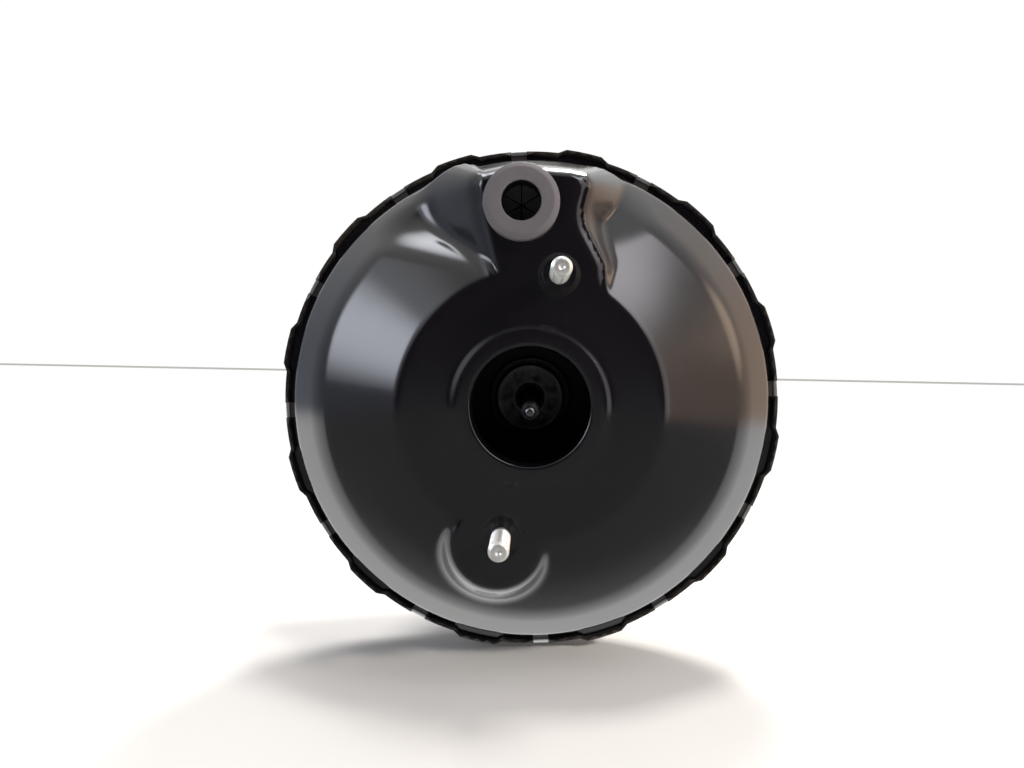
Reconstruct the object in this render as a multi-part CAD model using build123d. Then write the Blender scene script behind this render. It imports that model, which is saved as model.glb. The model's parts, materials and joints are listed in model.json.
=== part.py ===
from build123d import *
import math
import os

# Single-diaphragm vacuum brake booster, in millimetres.
#
# Every piece is drawn with the booster's axis along Z: the firewall face is at height 0 and the
# master cylinder face in front of it, seen from the front with X to the right and Y up. The last
# lines lay that axis along -Y, so the pedal side faces +Y and +Z is up. The origin is the middle
# of the firewall studs, on the firewall face.

# ---- sheet and gaps ----
shell_wall = 1.5
plate_wall = 1.2
reinforcement_wall = 2.0
seat_gap = 0.2
running_gap = 0.05

# ---- front shell ----
face_height = 109.0
disc_radius = 53.0
disc_round = 4.0
drum_radius = 110.0
shoulder_width = 18.0
shoulder_drop = 53.0
shoulder_round = 8.0
crease_drop = 27.0
crease_round = 8.0

# pilot hole: a low round boss with a collar turned in from its edge
pilot_radius = 23.7
pilot_collar_depth = 13.0
boss_radius = 29.6
boss_foot_radius = 32.8
boss_rise = 1.8
boss_foot_round = 2.0
boss_edge_round = 1.5

# terrace stamped into the upper half of the cone, with one straight wall on each side
terrace_depth = 40.0
terrace_draft = 17.5
terrace_left_start = (-14.7, 53.8)
terrace_left_slope = 6.8
terrace_right_start = (26.0, 59.4)
terrace_right_slope = 14.8
terrace_ridge_round = 6.0
terrace_foot_round = 3.0

# pad that stands in the terrace and carries the vacuum port and the upper stud
pad_end_gap = 15.5
pad_left_x = -18.5
pad_right_x = 29.5
pad_hip_gap = 38.5
pad_waist_x = 19.0
pad_waist_gap = 19.5
pad_corner_x = 30.0
pad_draft = 16.0
pad_hip_round = 12.0
pad_waist_round = 17.0
pad_right_corner_round = 2.2
pad_left_corner_round = 6.0
pad_edge_round = 3.0
pad_sink = 9.0

# lobe that carries the lower stud
lobe_centre = (-13.4, -54.7)
lobe_radius = 18.6
lobe_draft = 18.5
lobe_depth = 32.0

# ---- studs for the master cylinder ----
stud_radius = 4.0
stud_neck_radius = 4.6
stud_circle = 107.0
stud_clock_angle = 12.5
stud_reach = 26.0
stud_chamfer = 0.9
stud_dimple_radius = 1.3
stud_head_radius = 7.5
stud_head_height = 3.0
stud_hole_gap = 0.1
coin_radius = 7.6
coin_depth = 0.4
front_plate_radius = 36.0
front_plate_ear_radius = 9.0

# ---- vacuum port grommet ----
port_x = -3.4
port_end_gap = 14.6
port_hole_radius = 11.0
port_bore_radius = 7.75
port_flange_radius = 15.0
port_flange_rise = 7.5
port_chamfer = 2.2
port_bulb_radius = 12.2
port_bulb_depth = 7.0
port_membrane_wall = 1.6
port_membrane_depth = 11.0
port_slit_width = 0.5

# ---- seam of the two shells ----
flange_height = 46.0
flange_width = 3.7
skirt_reach = 3.0
ledge_drop = 6.5
lug_count = 12
lug_first_angle = 12.4
lug_width = 26.4
lug_end_slope = 1.6
lug_rise = 1.9
lug_depth = 7.5
lug_key_gap = 0.25
lance_first_angle = 27.4
lance_width = 7.2
lance_notch_depth = 1.3
lance_reach = 2.7

# ---- rear shell ----
neck_radius = 25.5
neck_length = 24.0
rear_flat_margin = 9.1
rear_shoulder_width = 12.0
rear_crease_height = 14.0
rear_foot_height = 26.0
rear_neck_round = 2.5
rear_flat_round = 6.0
rear_crease_round = 10.0
rear_drum_round = 8.0
wall_stud_spacing = 72.0
wall_stud_reach = 26.0
rear_plate_margin = 10.0
rear_plate_round = 20.0
rear_plate_hole_radius = 28.5

# ---- valve body ----
tube_radius = 19.0
tube_bore_radius = 16.2
tube_back = -58.0
chamber_floor = -22.0
collar_radius = 22.0
collar_back = 8.0
collar_front = 16.0
groove_radius = 19.6
groove_back = 10.0
groove_width = 3.0
nose_radius = 20.0
nose_step = 24.0
hub_radius = 16.0
hub_front = 27.0
reaction_bore_radius = 13.0
reaction_bore_back = 9.0
plunger_bore_radius = 8.0
seat_ring_inner = 12.0
seat_ring_wall = 1.2
seat_ring_rise = 1.5
seat_pocket_radius = 11.2
seat_pocket_gap = 2.0
passage_radius = 1.9
passage_circle = 15.6
key_slot_width = 15.0
key_slot_reach = 12.0
key_slot_back = -6.2

# ---- plunger and key ----
plunger_travel = 2.0
plunger_back = -24.0
plunger_flange_radius = 10.5
plunger_flange_wall = 4.0
plunger_groove_radius = 5.6
key_wall = 2.5
key_width = 14.4
key_reach = 21.5
key_tail = 10.0
key_gap = 0.15

# ---- reaction disc, output rod and its retainer ----
reaction_disc_height = 7.0
rod_tilt = 1.4
foot_play = 0.4
foot_height = 4.0
foot_gap = 0.4
output_rod_radius = 3.75
output_rod_front = 101.0
adjuster_hex = 6.4
adjuster_head_height = 4.5
adjuster_nose_radius = 2.2
adjuster_nose_front = 111.0
adjuster_shank_radius = 2.0
adjuster_shank_length = 9.0
retainer_face = 30.5
retainer_hole_radius = 7.4
pocket_count = 8
pocket_radius = 2.15
pocket_circle = 11.5
pocket_depth = 2.6
pocket_first_angle = 16.0

# ---- diaphragm, plate and return spring ----
plate_inner_flat = 48.0
plate_cone_foot = 60.0
plate_rise = 8.0
plate_lip_gap = 20.0
plate_lip_width = 4.0
plate_lip_rise = 7.0
diaphragm_wall = 1.8
diaphragm_roll_gap = 10.0
diaphragm_bead_gap = 1.1
diaphragm_bead_height = 3.2
return_spring_radius = 34.0
return_spring_wire = 3.6
return_spring_turns = 6

# ---- valve: poppet, springs, filters ----
poppet_inner_radius = 6.0
poppet_radius = 14.5
poppet_wall = 2.5
poppet_sleeve_radius = 11.6
poppet_sleeve_wall = 1.4
poppet_bead_back = -34.0
poppet_bead_wall = 3.0
poppet_lift = 0.3
cup_wall = 1.2
cup_hole_radius = 7.0
valve_spring_radius = 8.6
valve_spring_wire = 1.0
valve_spring_turns = 3
rod_spring_radius = 8.4
rod_spring_wire = 1.4
rod_spring_turns = 3
rod_spring_length = 9.6
washer_radius = 10.4
washer_wall = 1.2
filter_back = -53.4
filter_front = -48.2
filter_hole_radius = 6.6
silencer_wall = 2.3
cap_wall = 2.0
cap_spigot = 1.8
cap_hole_radius = 8.5

# ---- input rod, clevis and lock nut ----
ball_radius = 4.6
ball_height = -14.0
input_rod_radius = 4.0
input_rod_back = -128.0
nut_hex = 13.0
nut_wall = 6.5
clevis_front = -112.0
clevis_base = 10.0
clevis_width = 22.0
clevis_depth = 20.0
clevis_ear_wall = 5.0
clevis_pin_height = -140.0
clevis_pin_radius = 5.0

# ---- neck: guide bush, seal and its retainer, dust boot ----
bush_front = -7.0
bush_length = 7.5
seal_length = 8.0
seal_lip = 1.6
seal_ring_wall = 1.2
boot_wall = 1.6
boot_cuff_length = 9.0
boot_crest_radius = 28.5
boot_root_radius = 24.5
boot_crests = 5
boot_bell_back = -62.0
boot_cone_crests = 3
boot_cone_back = -82.0
boot_nose_radius = 8.0
boot_nose_length = 9.0

# ---- what follows from the sizes above ----
shoulder_foot_height = face_height - shoulder_drop
crease_radius = drum_radius - shoulder_width
crease_height = face_height - crease_drop
terrace_height = face_height - terrace_depth
pad_reach = drum_radius - pad_end_gap
port_centre = (port_x, pad_reach - port_end_gap)
flange_radius = drum_radius + flange_width
skirt_radius = flange_radius + seat_gap
skirt_front_height = flange_height + skirt_reach
ledge_height = flange_height - ledge_drop
rear_crease_radius = drum_radius - rear_shoulder_width
rear_flat_radius = math.hypot(wall_stud_spacing / 2, wall_stud_spacing / 2) + rear_flat_margin
rear_plate_width = wall_stud_spacing + 2 * rear_plate_margin
plate_outer_height = collar_front + plate_rise
plate_lip_radius = drum_radius - plate_lip_gap
plate_outer_flat = plate_lip_radius - plate_lip_width
plate_lip_height = plate_outer_height + plate_lip_rise
diaphragm_roll_radius = drum_radius - diaphragm_roll_gap
diaphragm_bead_inner = drum_radius - diaphragm_bead_gap


def rounded_face(corners, rounds):
    """Flat face through corners, with the corners numbered in rounds rounded to those radii."""
    face = make_face(Polyline(*corners, close=True))
    for number, radius in rounds.items():
        corner = corners[number]
        vertex = min(face.vertices(), key=lambda v: math.dist((v.X, v.Y), corner))
        face = fillet([vertex], radius)
    return face


def turned(face):
    """Solid of revolution about the axis. The face is drawn as (radius, height)."""
    right_half = Pos(500, 0, 0) * Rectangle(1000, 1000)
    return revolve(Plane.XZ * (face & right_half), Axis.Z, 360)


def turned_outline(corners, rounds=None):
    return turned(rounded_face(corners, rounds or {}))


def ring(inner, outer, back, front):
    return turned_outline([(inner, back), (outer, back), (outer, front), (inner, front)])


def disc(radius, back, front, centre=(0, 0)):
    return Pos(centre[0], centre[1], (back + front) / 2) * Cylinder(radius, front - back)


def slab(width, depth, back, front):
    return Pos(0, 0, (back + front) / 2) * Box(width, depth, front - back)


def clocked(shape, angle):
    """Turns a shape from the top of the booster clockwise by angle, as seen from the front."""
    return Rot(0, 0, -angle) * shape


def clock_point(radius, angle):
    turn = math.radians(angle)
    return (radius * math.sin(turn), radius * math.cos(turn))


def drafted_inset(inset, draft):
    """Sideways move of a drafted wall's top edge when the form shrinks by inset all round."""
    lean = math.radians(draft)
    return inset * (1 - math.sin(lean)) / math.cos(lean)


def spring(radius, wire, turns, back, front):
    """Round-wire coil that fits between two flat seats."""
    height = front - back - wire
    path = Helix(pitch=height / turns, height=height, radius=radius)
    section = Plane(origin=path @ 0, z_dir=path % 0) * Circle(wire / 2)
    return Pos(0, 0, back + wire / 2) * sweep(section, path)


# ---------------------------------------------------------------- front shell


def terrace_corner(start, slope, x):
    return (x, start[1] + abs(x - start[0]) * math.tan(math.radians(slope)))


def terrace_cut(inset):
    """Block that is pressed into the cone: two walls in a shallow V and a flat floor."""
    reach = drum_radius + face_height - terrace_height
    corners = [
        terrace_corner(terrace_left_start, terrace_left_slope, -reach),
        terrace_left_start,
        terrace_right_start,
        terrace_corner(terrace_right_start, terrace_right_slope, reach),
        (reach, 2 * reach),
        (-reach, 2 * reach),
    ]
    plan = make_face(Polyline(*corners, close=True))
    if inset:
        plan = offset(plan, drafted_inset(inset, terrace_draft), kind=Kind.INTERSECTION)
    depth = face_height - terrace_height
    return extrude(Pos(0, 0, face_height - inset) * plan, amount=-depth, taper=terrace_draft)


def port_pad(inset):
    """Pad at the level of the disc, waisted on its right side between the port and the stud."""
    left_end = (pad_left_x, math.sqrt(pad_reach**2 - pad_left_x**2))
    right_end = (pad_corner_x, math.sqrt(pad_reach**2 - pad_corner_x**2))
    root_y = disc_radius / 2
    hip = (pad_right_x, pad_reach - pad_hip_gap)
    waist = (pad_waist_x, pad_reach - pad_waist_gap)
    sides = Polyline(left_end, (pad_left_x, root_y), (pad_right_x, root_y), hip, waist, right_end)
    plan = make_face(sides + ThreePointArc(right_end, (0, pad_reach), left_end))
    rounds = [
        (hip, pad_hip_round),
        (waist, pad_waist_round),
        (right_end, pad_right_corner_round),
        (left_end, pad_left_corner_round),
    ]
    for corner, radius in rounds:
        vertex = min(plan.vertices(), key=lambda v: math.dist((v.X, v.Y), corner))
        plan = fillet([vertex], radius)
    if inset:
        plan = offset(plan, -drafted_inset(inset, pad_draft), kind=Kind.INTERSECTION)
    top = face_height - inset
    foot = terrace_height - pad_sink
    block = extrude(Pos(0, 0, top) * plan, amount=foot - top, taper=-pad_draft)
    top_edges = block.faces().sort_by(Axis.Z)[-1].outer_wire().edges()
    return fillet(top_edges, pad_edge_round - inset)


def off_cone(edge):
    """How far an edge's middle lies above or below the straight cone."""
    middle = edge @ 0.5
    run = math.hypot(middle.X, middle.Y) - disc_radius
    return abs(face_height - crease_drop * run / (crease_radius - disc_radius) - middle.Z)


def left_terrace_wall(form):
    """Straight wall on the left of the terrace, found by the way it faces."""
    turn = math.radians(terrace_left_slope)
    lean = math.radians(terrace_draft)
    across = math.cos(lean)
    facing = Vector(math.sin(turn) * across, math.cos(turn) * across, math.sin(lean))
    return max(form.faces(), key=lambda face: (round(face.normal_at().dot(facing), 3), face.area))


def softened_terrace(form, inset):
    """Rolls the left ridge over and hollows the feet beside the pad, as drawn sheet does."""
    ridge = min(left_terrace_wall(form).edges(), key=off_cone)
    form = fillet([ridge], terrace_ridge_round - inset)
    foot = left_terrace_wall(form).edges().sort_by(Axis.Z)[0]
    floor = foot.center().Z
    pad_foot_x = pad_left_x - terrace_depth * math.tan(math.radians(pad_draft))
    hollow = [foot]
    for edge in form.edges():
        level = abs((edge @ 0).Z - floor) + abs((edge @ 1).Z - floor) < 0.01
        if level and abs(edge.center().X - pad_foot_x) < pad_left_corner_round / 2:
            hollow.append(edge)
    return fillet(hollow, terrace_foot_round + inset)


def stud_lobe(inset):
    top = face_height - inset
    foot = top - lobe_depth
    radius = lobe_radius - drafted_inset(inset, lobe_draft)
    foot_radius = radius + lobe_depth * math.tan(math.radians(lobe_draft))
    corners = [(0, foot), (foot_radius, foot), (radius, top), (0, top)]
    return Pos(*lobe_centre, 0) * turned_outline(corners, {2: pad_edge_round - inset})


def front_form(inset):
    """The front shell as a solid plug. The inset one is what its inside leaves empty."""
    boss_height = face_height + boss_rise
    corners = [
        (-boss_radius, 0),
        (drum_radius, 0),
        (drum_radius, shoulder_foot_height),
        (crease_radius, crease_height),
        (disc_radius, face_height),
        (boss_foot_radius, face_height),
        (boss_radius, boss_height),
        (-boss_radius, boss_height),
    ]
    rounds = {
        2: shoulder_round,
        3: crease_round,
        4: disc_round,
        5: boss_foot_round,
        6: boss_edge_round,
    }
    profile = rounded_face(corners, rounds)
    if inset:
        profile = offset(profile, -inset, kind=Kind.INTERSECTION)
    form = turned(profile) - terrace_cut(inset) + port_pad(inset)
    return softened_terrace(form, inset) + stud_lobe(inset)


def mc_stud_places():
    return [clock_point(stud_circle / 2, stud_clock_angle + turn) for turn in (0, 180)]


def lug_block(inner, outer, half_width, back, front):
    """Block at the top of the rim whose ends lean in towards the outside."""
    lean = (outer - skirt_radius) * lug_end_slope
    corners = [
        (-half_width, inner - 5),
        (half_width, inner - 5),
        (half_width, skirt_radius),
        (half_width - lean, outer),
        (half_width - lean, outer + 5),
        (lean - half_width, outer + 5),
        (lean - half_width, outer),
        (-half_width, skirt_radius),
    ]
    prism = extrude(Pos(0, 0, back) * make_face(Polyline(*corners, close=True)), amount=front - back)
    return prism & ring(inner, outer, back, front)


def lug_angles():
    return [lug_first_angle + turn * 360 / lug_count for turn in range(lug_count)]


def front_shell():
    flange_back = flange_height - shell_wall
    shell = front_form(0) - front_form(shell_wall)
    shell -= disc(drum_radius + shell_wall, -1, flange_back)
    shell += ring(drum_radius - shell_wall, flange_radius, flange_back, flange_height)
    key_radius = skirt_radius + lug_rise - lug_key_gap
    key_half_width = lug_width / 2 - shell_wall - lug_key_gap
    for angle in lug_angles():
        key = lug_block(drum_radius, key_radius, key_half_width, flange_back, flange_height)
        shell += clocked(key, angle)
    boss_height = face_height + boss_rise
    shell += ring(
        pilot_radius,
        pilot_radius + shell_wall,
        boss_height - pilot_collar_depth,
        boss_height - shell_wall,
    )
    mouth_round = shell_wall - 0.3
    mouth = [
        (0, boss_height - 2 * pilot_collar_depth),
        (pilot_radius, boss_height - 2 * pilot_collar_depth),
        (pilot_radius, boss_height),
        (pilot_radius + 2 * mouth_round, boss_height),
        (pilot_radius + 2 * mouth_round, boss_height + 1),
        (0, boss_height + 1),
    ]
    shell -= turned_outline(mouth, {2: mouth_round})
    for place in mc_stud_places():
        shell -= disc(stud_neck_radius + stud_hole_gap, face_height - 5, face_height + 5, place)
        shell -= disc(coin_radius, face_height - coin_depth, face_height + 5, place)
    shell -= disc(port_hole_radius, face_height - 5, face_height + 5, port_centre)
    return shell


def master_cylinder_studs():
    """Press-in studs: a flat head behind the plate, a thicker neck in the sheet, then the thread."""
    head_front = face_height - shell_wall - reinforcement_wall
    neck_front = face_height - coin_depth
    tip = face_height + stud_reach
    corners = [
        (0, head_front - stud_head_height),
        (stud_head_radius, head_front - stud_head_height),
        (stud_head_radius, head_front),
        (stud_neck_radius, head_front),
        (stud_neck_radius, neck_front),
        (stud_radius, neck_front),
        (stud_radius, tip - stud_chamfer),
        (stud_radius - stud_chamfer, tip),
        (stud_dimple_radius, tip),
        (0, tip - stud_dimple_radius),
    ]
    stud = turned_outline(corners)
    return Compound([Pos(*place, 0) * stud for place in mc_stud_places()])


def front_reinforcement():
    """Oval plate behind the front face that spreads the load of the two studs."""
    front = face_height - shell_wall
    back = front - reinforcement_wall
    plan = Circle(front_plate_radius) + [
        Pos(*place, 0) * Circle(front_plate_ear_radius) for place in mc_stud_places()
    ]
    lean = math.asin((front_plate_radius - front_plate_ear_radius) / (stud_circle / 2))
    across, along = math.cos(lean), math.sin(lean)
    ear_centre = stud_circle / 2
    web = Polyline(
        (front_plate_radius * across, front_plate_radius * along),
        (front_plate_ear_radius * across, ear_centre + front_plate_ear_radius * along),
        (-front_plate_ear_radius * across, ear_centre + front_plate_ear_radius * along),
        (-front_plate_radius * across, front_plate_radius * along),
        close=True,
    )
    for turn in (0, 180):
        plan += Rot(0, 0, -stud_clock_angle - turn) * make_face(web)
    plan -= Circle(pilot_radius + shell_wall + seat_gap)
    for place in mc_stud_places():
        plan -= Pos(*place, 0) * Circle(stud_neck_radius + stud_hole_gap)
    return extrude(Pos(0, 0, back) * plan, amount=reinforcement_wall)


def vacuum_grommet():
    """Rubber grommet of the vacuum port: flange, groove for the shell, bulb and slit membrane."""
    top = face_height + port_flange_rise
    groove_top = face_height + running_gap
    groove_back = face_height - shell_wall - running_gap
    bulb_back = groove_back - port_bulb_depth
    neck = port_hole_radius - running_gap
    corners = [
        (port_bore_radius, bulb_back),
        (port_hole_radius - 1, bulb_back),
        (port_bulb_radius, groove_back - 2),
        (port_bulb_radius, groove_back),
        (neck, groove_back),
        (neck, groove_top),
        (port_flange_radius, groove_top),
        (port_flange_radius, top - port_chamfer),
        (port_flange_radius - port_chamfer, top),
        (port_bore_radius, top),
    ]
    body = turned_outline(corners, {3: 0.8, 6: 0.8, 7: 0.8, 8: 0.8})
    membrane_front = top - port_membrane_depth
    body += disc(port_bore_radius + 1, membrane_front - port_membrane_wall, membrane_front)
    slit = slab(
        port_slit_width,
        2 * port_bore_radius - 2,
        membrane_front - 2 * port_membrane_wall,
        membrane_front + 1,
    )
    for angle in (0, 60, 120):
        body -= clocked(slit, angle)
    return Pos(*port_centre, 0) * body


# ---------------------------------------------------------------- rear shell


def rear_form(inset):
    skirt_outer = skirt_radius + shell_wall
    above = skirt_front_height + 10
    corners = [
        (-neck_radius, -neck_length - 10),
        (neck_radius, -neck_length - 10),
        (neck_radius, 0),
        (rear_flat_radius, 0),
        (rear_crease_radius, rear_crease_height),
        (drum_radius, rear_foot_height),
        (drum_radius, ledge_height),
        (skirt_outer, ledge_height),
        (skirt_outer, above),
        (-neck_radius, above),
    ]
    rounds = {
        2: rear_neck_round,
        3: rear_flat_round,
        4: rear_crease_round,
        5: rear_drum_round,
        6: 0.8,
        7: shell_wall + 0.4,
    }
    profile = rounded_face(corners, rounds)
    if inset:
        profile = offset(profile, -inset, kind=Kind.INTERSECTION)
    return turned(profile)


def wall_stud_places():
    half = wall_stud_spacing / 2
    return [(x, y) for x in (-half, half) for y in (-half, half)]


def rear_shell():
    skirt_outer = skirt_radius + shell_wall
    shell = rear_form(0) - rear_form(shell_wall)
    shell -= disc(skirt_outer + 1, skirt_front_height, skirt_front_height + 20)
    shell -= disc(neck_radius + 1, -neck_length - 20, -neck_length)
    lug_outer = skirt_outer + lug_rise
    lug_back = skirt_front_height - lug_depth
    pocket_outer = lug_outer - shell_wall
    pocket_back = lug_back + shell_wall
    for angle in lug_angles():
        lug = lug_block(skirt_radius + 0.5, lug_outer, lug_width / 2, lug_back, skirt_front_height)
        hollow = lug_block(
            skirt_radius - 1,
            pocket_outer,
            lug_width / 2 - shell_wall,
            pocket_back,
            skirt_front_height + 1,
        )
        shell = shell + clocked(lug, angle) - clocked(hollow, angle)
    notch_floor = skirt_front_height - lance_notch_depth
    notch = slab(lance_width, 10, notch_floor, skirt_front_height + 1)
    tab_inner = skirt_radius - lance_reach
    tab_back = flange_height + seat_gap
    tab = slab(lance_width, skirt_radius + 0.5 - tab_inner, tab_back, notch_floor)
    for count in range(lug_count):
        angle = lance_first_angle + count * 360 / lug_count
        shell -= clocked(Pos(0, skirt_radius, 0) * notch, angle)
        shell += clocked(Pos(0, (tab_inner + skirt_radius + 0.5) / 2, 0) * tab, angle)
    for place in wall_stud_places():
        shell -= disc(stud_neck_radius + stud_hole_gap, -5, 5, place)
    return shell


def firewall_studs():
    head_back = shell_wall + reinforcement_wall
    corners = [
        (0, head_back + stud_head_height),
        (stud_head_radius, head_back + stud_head_height),
        (stud_head_radius, head_back),
        (stud_neck_radius, head_back),
        (stud_neck_radius, 0),
        (stud_radius, 0),
        (stud_radius, stud_chamfer - wall_stud_reach),
        (stud_radius - stud_chamfer, -wall_stud_reach),
        (0, -wall_stud_reach),
    ]
    stud = turned_outline(corners)
    return Compound([Pos(*place, 0) * stud for place in wall_stud_places()])


def rear_reinforcement():
    plan = RectangleRounded(rear_plate_width, rear_plate_width, rear_plate_round)
    plan -= Circle(rear_plate_hole_radius)
    for place in wall_stud_places():
        plan -= Pos(*place, 0) * Circle(stud_neck_radius + stud_hole_gap)
    return extrude(Pos(0, 0, shell_wall) * plan, amount=reinforcement_wall)


def neck_bore():
    return neck_radius - shell_wall


def guide_bush():
    """Plastic bush that guides the valve body in the neck, grooved to let air past."""
    bush = ring(
        tube_radius + running_gap,
        neck_bore() - running_gap,
        bush_front - bush_length,
        bush_front,
    )
    groove = Pos(0, tube_radius, 0) * slab(3, 2.4, bush_front - bush_length - 1, bush_front + 1)
    for count in range(8):
        bush -= clocked(groove, count * 45 + 22.5)
    return bush


def seal_back():
    return bush_front - bush_length - seal_length


def rear_seal():
    """Rubber seal with one lip on the valve body and a channel open towards the booster."""
    front = bush_front - bush_length - running_gap
    back = seal_back()
    inner = tube_radius + running_gap
    outer = neck_bore() - running_gap
    corners = [
        (inner, back),
        (outer, back),
        (outer, front),
        (outer - seal_lip, front),
        (outer - seal_lip, back + 3),
        (inner + seal_lip, back + 3),
        (inner + seal_lip, front - 1),
        (inner, front - 1),
    ]
    return turned_outline(corners, {4: 0.6, 5: 0.6})


def seal_retainer():
    back = seal_back() - running_gap - seal_ring_wall
    flat_inner = tube_radius + 1.5
    outer = neck_bore() - running_gap
    corners = [
        (flat_inner, back),
        (outer, back),
        (outer, back + seal_ring_wall),
        (flat_inner, back + seal_ring_wall),
    ]
    return turned_outline(corners)


def bellows_points():
    """Outside of the dust boot as (radius, height), from its cuff on the neck to the rod."""
    points = []
    bell_front = -neck_length
    pitch = (bell_front - boot_bell_back) / boot_crests
    for count in range(boot_crests):
        points.append((boot_root_radius, bell_front - count * pitch))
        points.append((boot_crest_radius, bell_front - (count + 0.5) * pitch))
    cone_pitch = (boot_bell_back - boot_cone_back) / boot_cone_crests
    for count in range(boot_cone_crests):
        share = count / boot_cone_crests
        root = boot_root_radius + (boot_nose_radius - boot_root_radius) * share
        points.append((root, boot_bell_back - count * cone_pitch))
        points.append((root + 1, boot_bell_back - (count + 0.5) * cone_pitch))
    points.append((boot_nose_radius, boot_cone_back))
    return points


def dust_boot():
    """Bellows over the valve body, held on the neck of the rear shell and on the input rod."""
    outside = bellows_points()
    cuff_inner = neck_radius + running_gap
    cuff_front = boot_cuff_length - neck_length
    nose_back = boot_cone_back - boot_nose_length
    nose_inner = input_rod_radius + running_gap
    inside = [(radius - boot_wall, height) for radius, height in outside]
    corners = [(cuff_inner, cuff_front), (cuff_inner + 2 * boot_wall, cuff_front)]
    corners += [(cuff_inner + 2 * boot_wall, -neck_length)] + outside[1:]
    corners += [(boot_nose_radius, nose_back), (nose_inner, nose_back)]
    corners += [(nose_inner, boot_cone_back)] + inside[-2:0:-1]
    corners += [(boot_root_radius - boot_wall, -neck_length - seat_gap)]
    corners += [(cuff_inner, -neck_length - seat_gap)]
    return turned_outline(corners)


# ---------------------------------------------------------------- power piston


def valve_body():
    """Moulded valve body: rear tube, collar with the diaphragm groove, stepped nose."""
    corners = [
        (0, chamber_floor),
        (tube_bore_radius, chamber_floor),
        (tube_bore_radius, tube_back),
        (tube_radius, tube_back),
        (tube_radius, collar_back),
        (collar_radius, collar_back),
        (collar_radius, groove_back),
        (groove_radius, groove_back),
        (groove_radius, groove_back + groove_width),
        (collar_radius, groove_back + groove_width),
        (collar_radius, collar_front),
        (nose_radius, collar_front),
        (nose_radius, nose_step),
        (hub_radius, nose_step),
        (hub_radius, hub_front),
        (reaction_bore_radius, hub_front),
        (reaction_bore_radius, reaction_bore_back),
        (0, reaction_bore_back),
    ]
    body = turned_outline(corners, {12: 1.0})
    body += ring(
        seat_ring_inner,
        seat_ring_inner + seat_ring_wall,
        chamber_floor - seat_ring_rise,
        chamber_floor,
    )
    body -= disc(plunger_bore_radius, chamber_floor - 1, reaction_bore_back + 1)
    seat_pocket_front = plunger_back + plunger_flange_wall + plunger_travel + seat_pocket_gap
    body -= disc(seat_pocket_radius, chamber_floor - 1, seat_pocket_front)
    for turn in (0, 180):
        passage = disc(passage_radius, chamber_floor - 1, hub_front + 1, (0, passage_circle))
        body -= clocked(passage, turn)
    slot_length = key_slot_reach + tube_radius + 1
    slot_middle = (tube_radius + 1 - key_slot_reach) / 2
    slot_front = key_slot_back + 3 * key_gap + key_wall + plunger_travel + running_gap
    slot = slab(slot_length, key_slot_width, key_slot_back, slot_front)
    return body - Pos(slot_middle, 0, 0) * slot


def reaction_disc():
    front = reaction_bore_back + reaction_disc_height
    return ring(0, reaction_bore_radius - seat_gap, reaction_bore_back, front)


def foot_back():
    return reaction_bore_back + reaction_disc_height + foot_play


def tilt_rod(piece):
    """Lets the loose output rod hang down at its tip, about the middle of its foot."""
    pivot = foot_back() + foot_height / 2
    return Pos(0, 0, pivot) * Rot(rod_tilt, 0, 0) * Pos(0, 0, -pivot) * piece


def output_push_rod():
    back = foot_back()
    front = back + foot_height
    radius = reaction_bore_radius - foot_gap
    corners = [
        (0, back),
        (radius, back),
        (radius, front),
        (output_rod_radius + 1.5, front),
        (output_rod_radius, front + 4),
        (output_rod_radius, output_rod_front),
        (adjuster_shank_radius + running_gap, output_rod_front),
        (adjuster_shank_radius + running_gap, output_rod_front - adjuster_shank_length - 1),
        (0, output_rod_front - adjuster_shank_length - 1),
    ]
    return tilt_rod(turned_outline(corners, {1: 0.5, 2: 0.5, 3: 1.0}))


def output_rod_adjuster():
    """Screw in the tip of the output rod, with a hexagon to set its length and a domed nose."""
    head_front = output_rod_front + adjuster_head_height
    hexagon = RegularPolygon(adjuster_hex / 2, 6, major_radius=False)
    screw = extrude(Pos(0, 0, output_rod_front + running_gap) * hexagon, amount=adjuster_head_height)
    screw += disc(
        adjuster_shank_radius,
        output_rod_front - adjuster_shank_length,
        output_rod_front + 1,
    )
    nose = [
        (0, head_front - 1),
        (adjuster_nose_radius, head_front - 1),
        (adjuster_nose_radius, adjuster_nose_front),
        (0, adjuster_nose_front),
    ]
    return tilt_rod(screw + turned_outline(nose, {2: adjuster_nose_radius * 0.8}))


def output_rod_retainer():
    """Cap of the hub: keeps the rod's foot in its bore and has a ring of moulding pockets."""
    spigot_back = foot_back() + foot_height + foot_play
    corners = [
        (retainer_hole_radius, spigot_back),
        (reaction_bore_radius - running_gap, spigot_back),
        (reaction_bore_radius - running_gap, hub_front),
        (hub_radius, hub_front),
        (hub_radius, retainer_face),
        (retainer_hole_radius, retainer_face),
    ]
    cap = turned_outline(corners, {4: 0.5})
    pocket = disc(pocket_radius, retainer_face - pocket_depth, retainer_face + 1, (0, pocket_circle))
    for count in range(pocket_count):
        cap -= clocked(pocket, pocket_first_angle + count * 360 / pocket_count)
    return cap


def diaphragm_plate():
    """Pressed steel dish that carries the diaphragm and the return spring."""
    back = collar_front
    inner = nose_radius + seat_gap
    line = [
        (inner, back),
        (plate_inner_flat, back),
        (plate_cone_foot, plate_outer_height),
        (plate_outer_flat, plate_outer_height),
        (plate_lip_radius, plate_lip_height),
    ]
    lean = plate_wall * 0.45
    front = [
        (plate_lip_radius - plate_wall, plate_lip_height),
        (plate_outer_flat - lean, plate_outer_height + plate_wall),
        (plate_cone_foot - lean, plate_outer_height + plate_wall),
        (plate_inner_flat - lean, back + plate_wall),
        (inner, back + plate_wall),
    ]
    return turned_outline(line + front)


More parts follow.
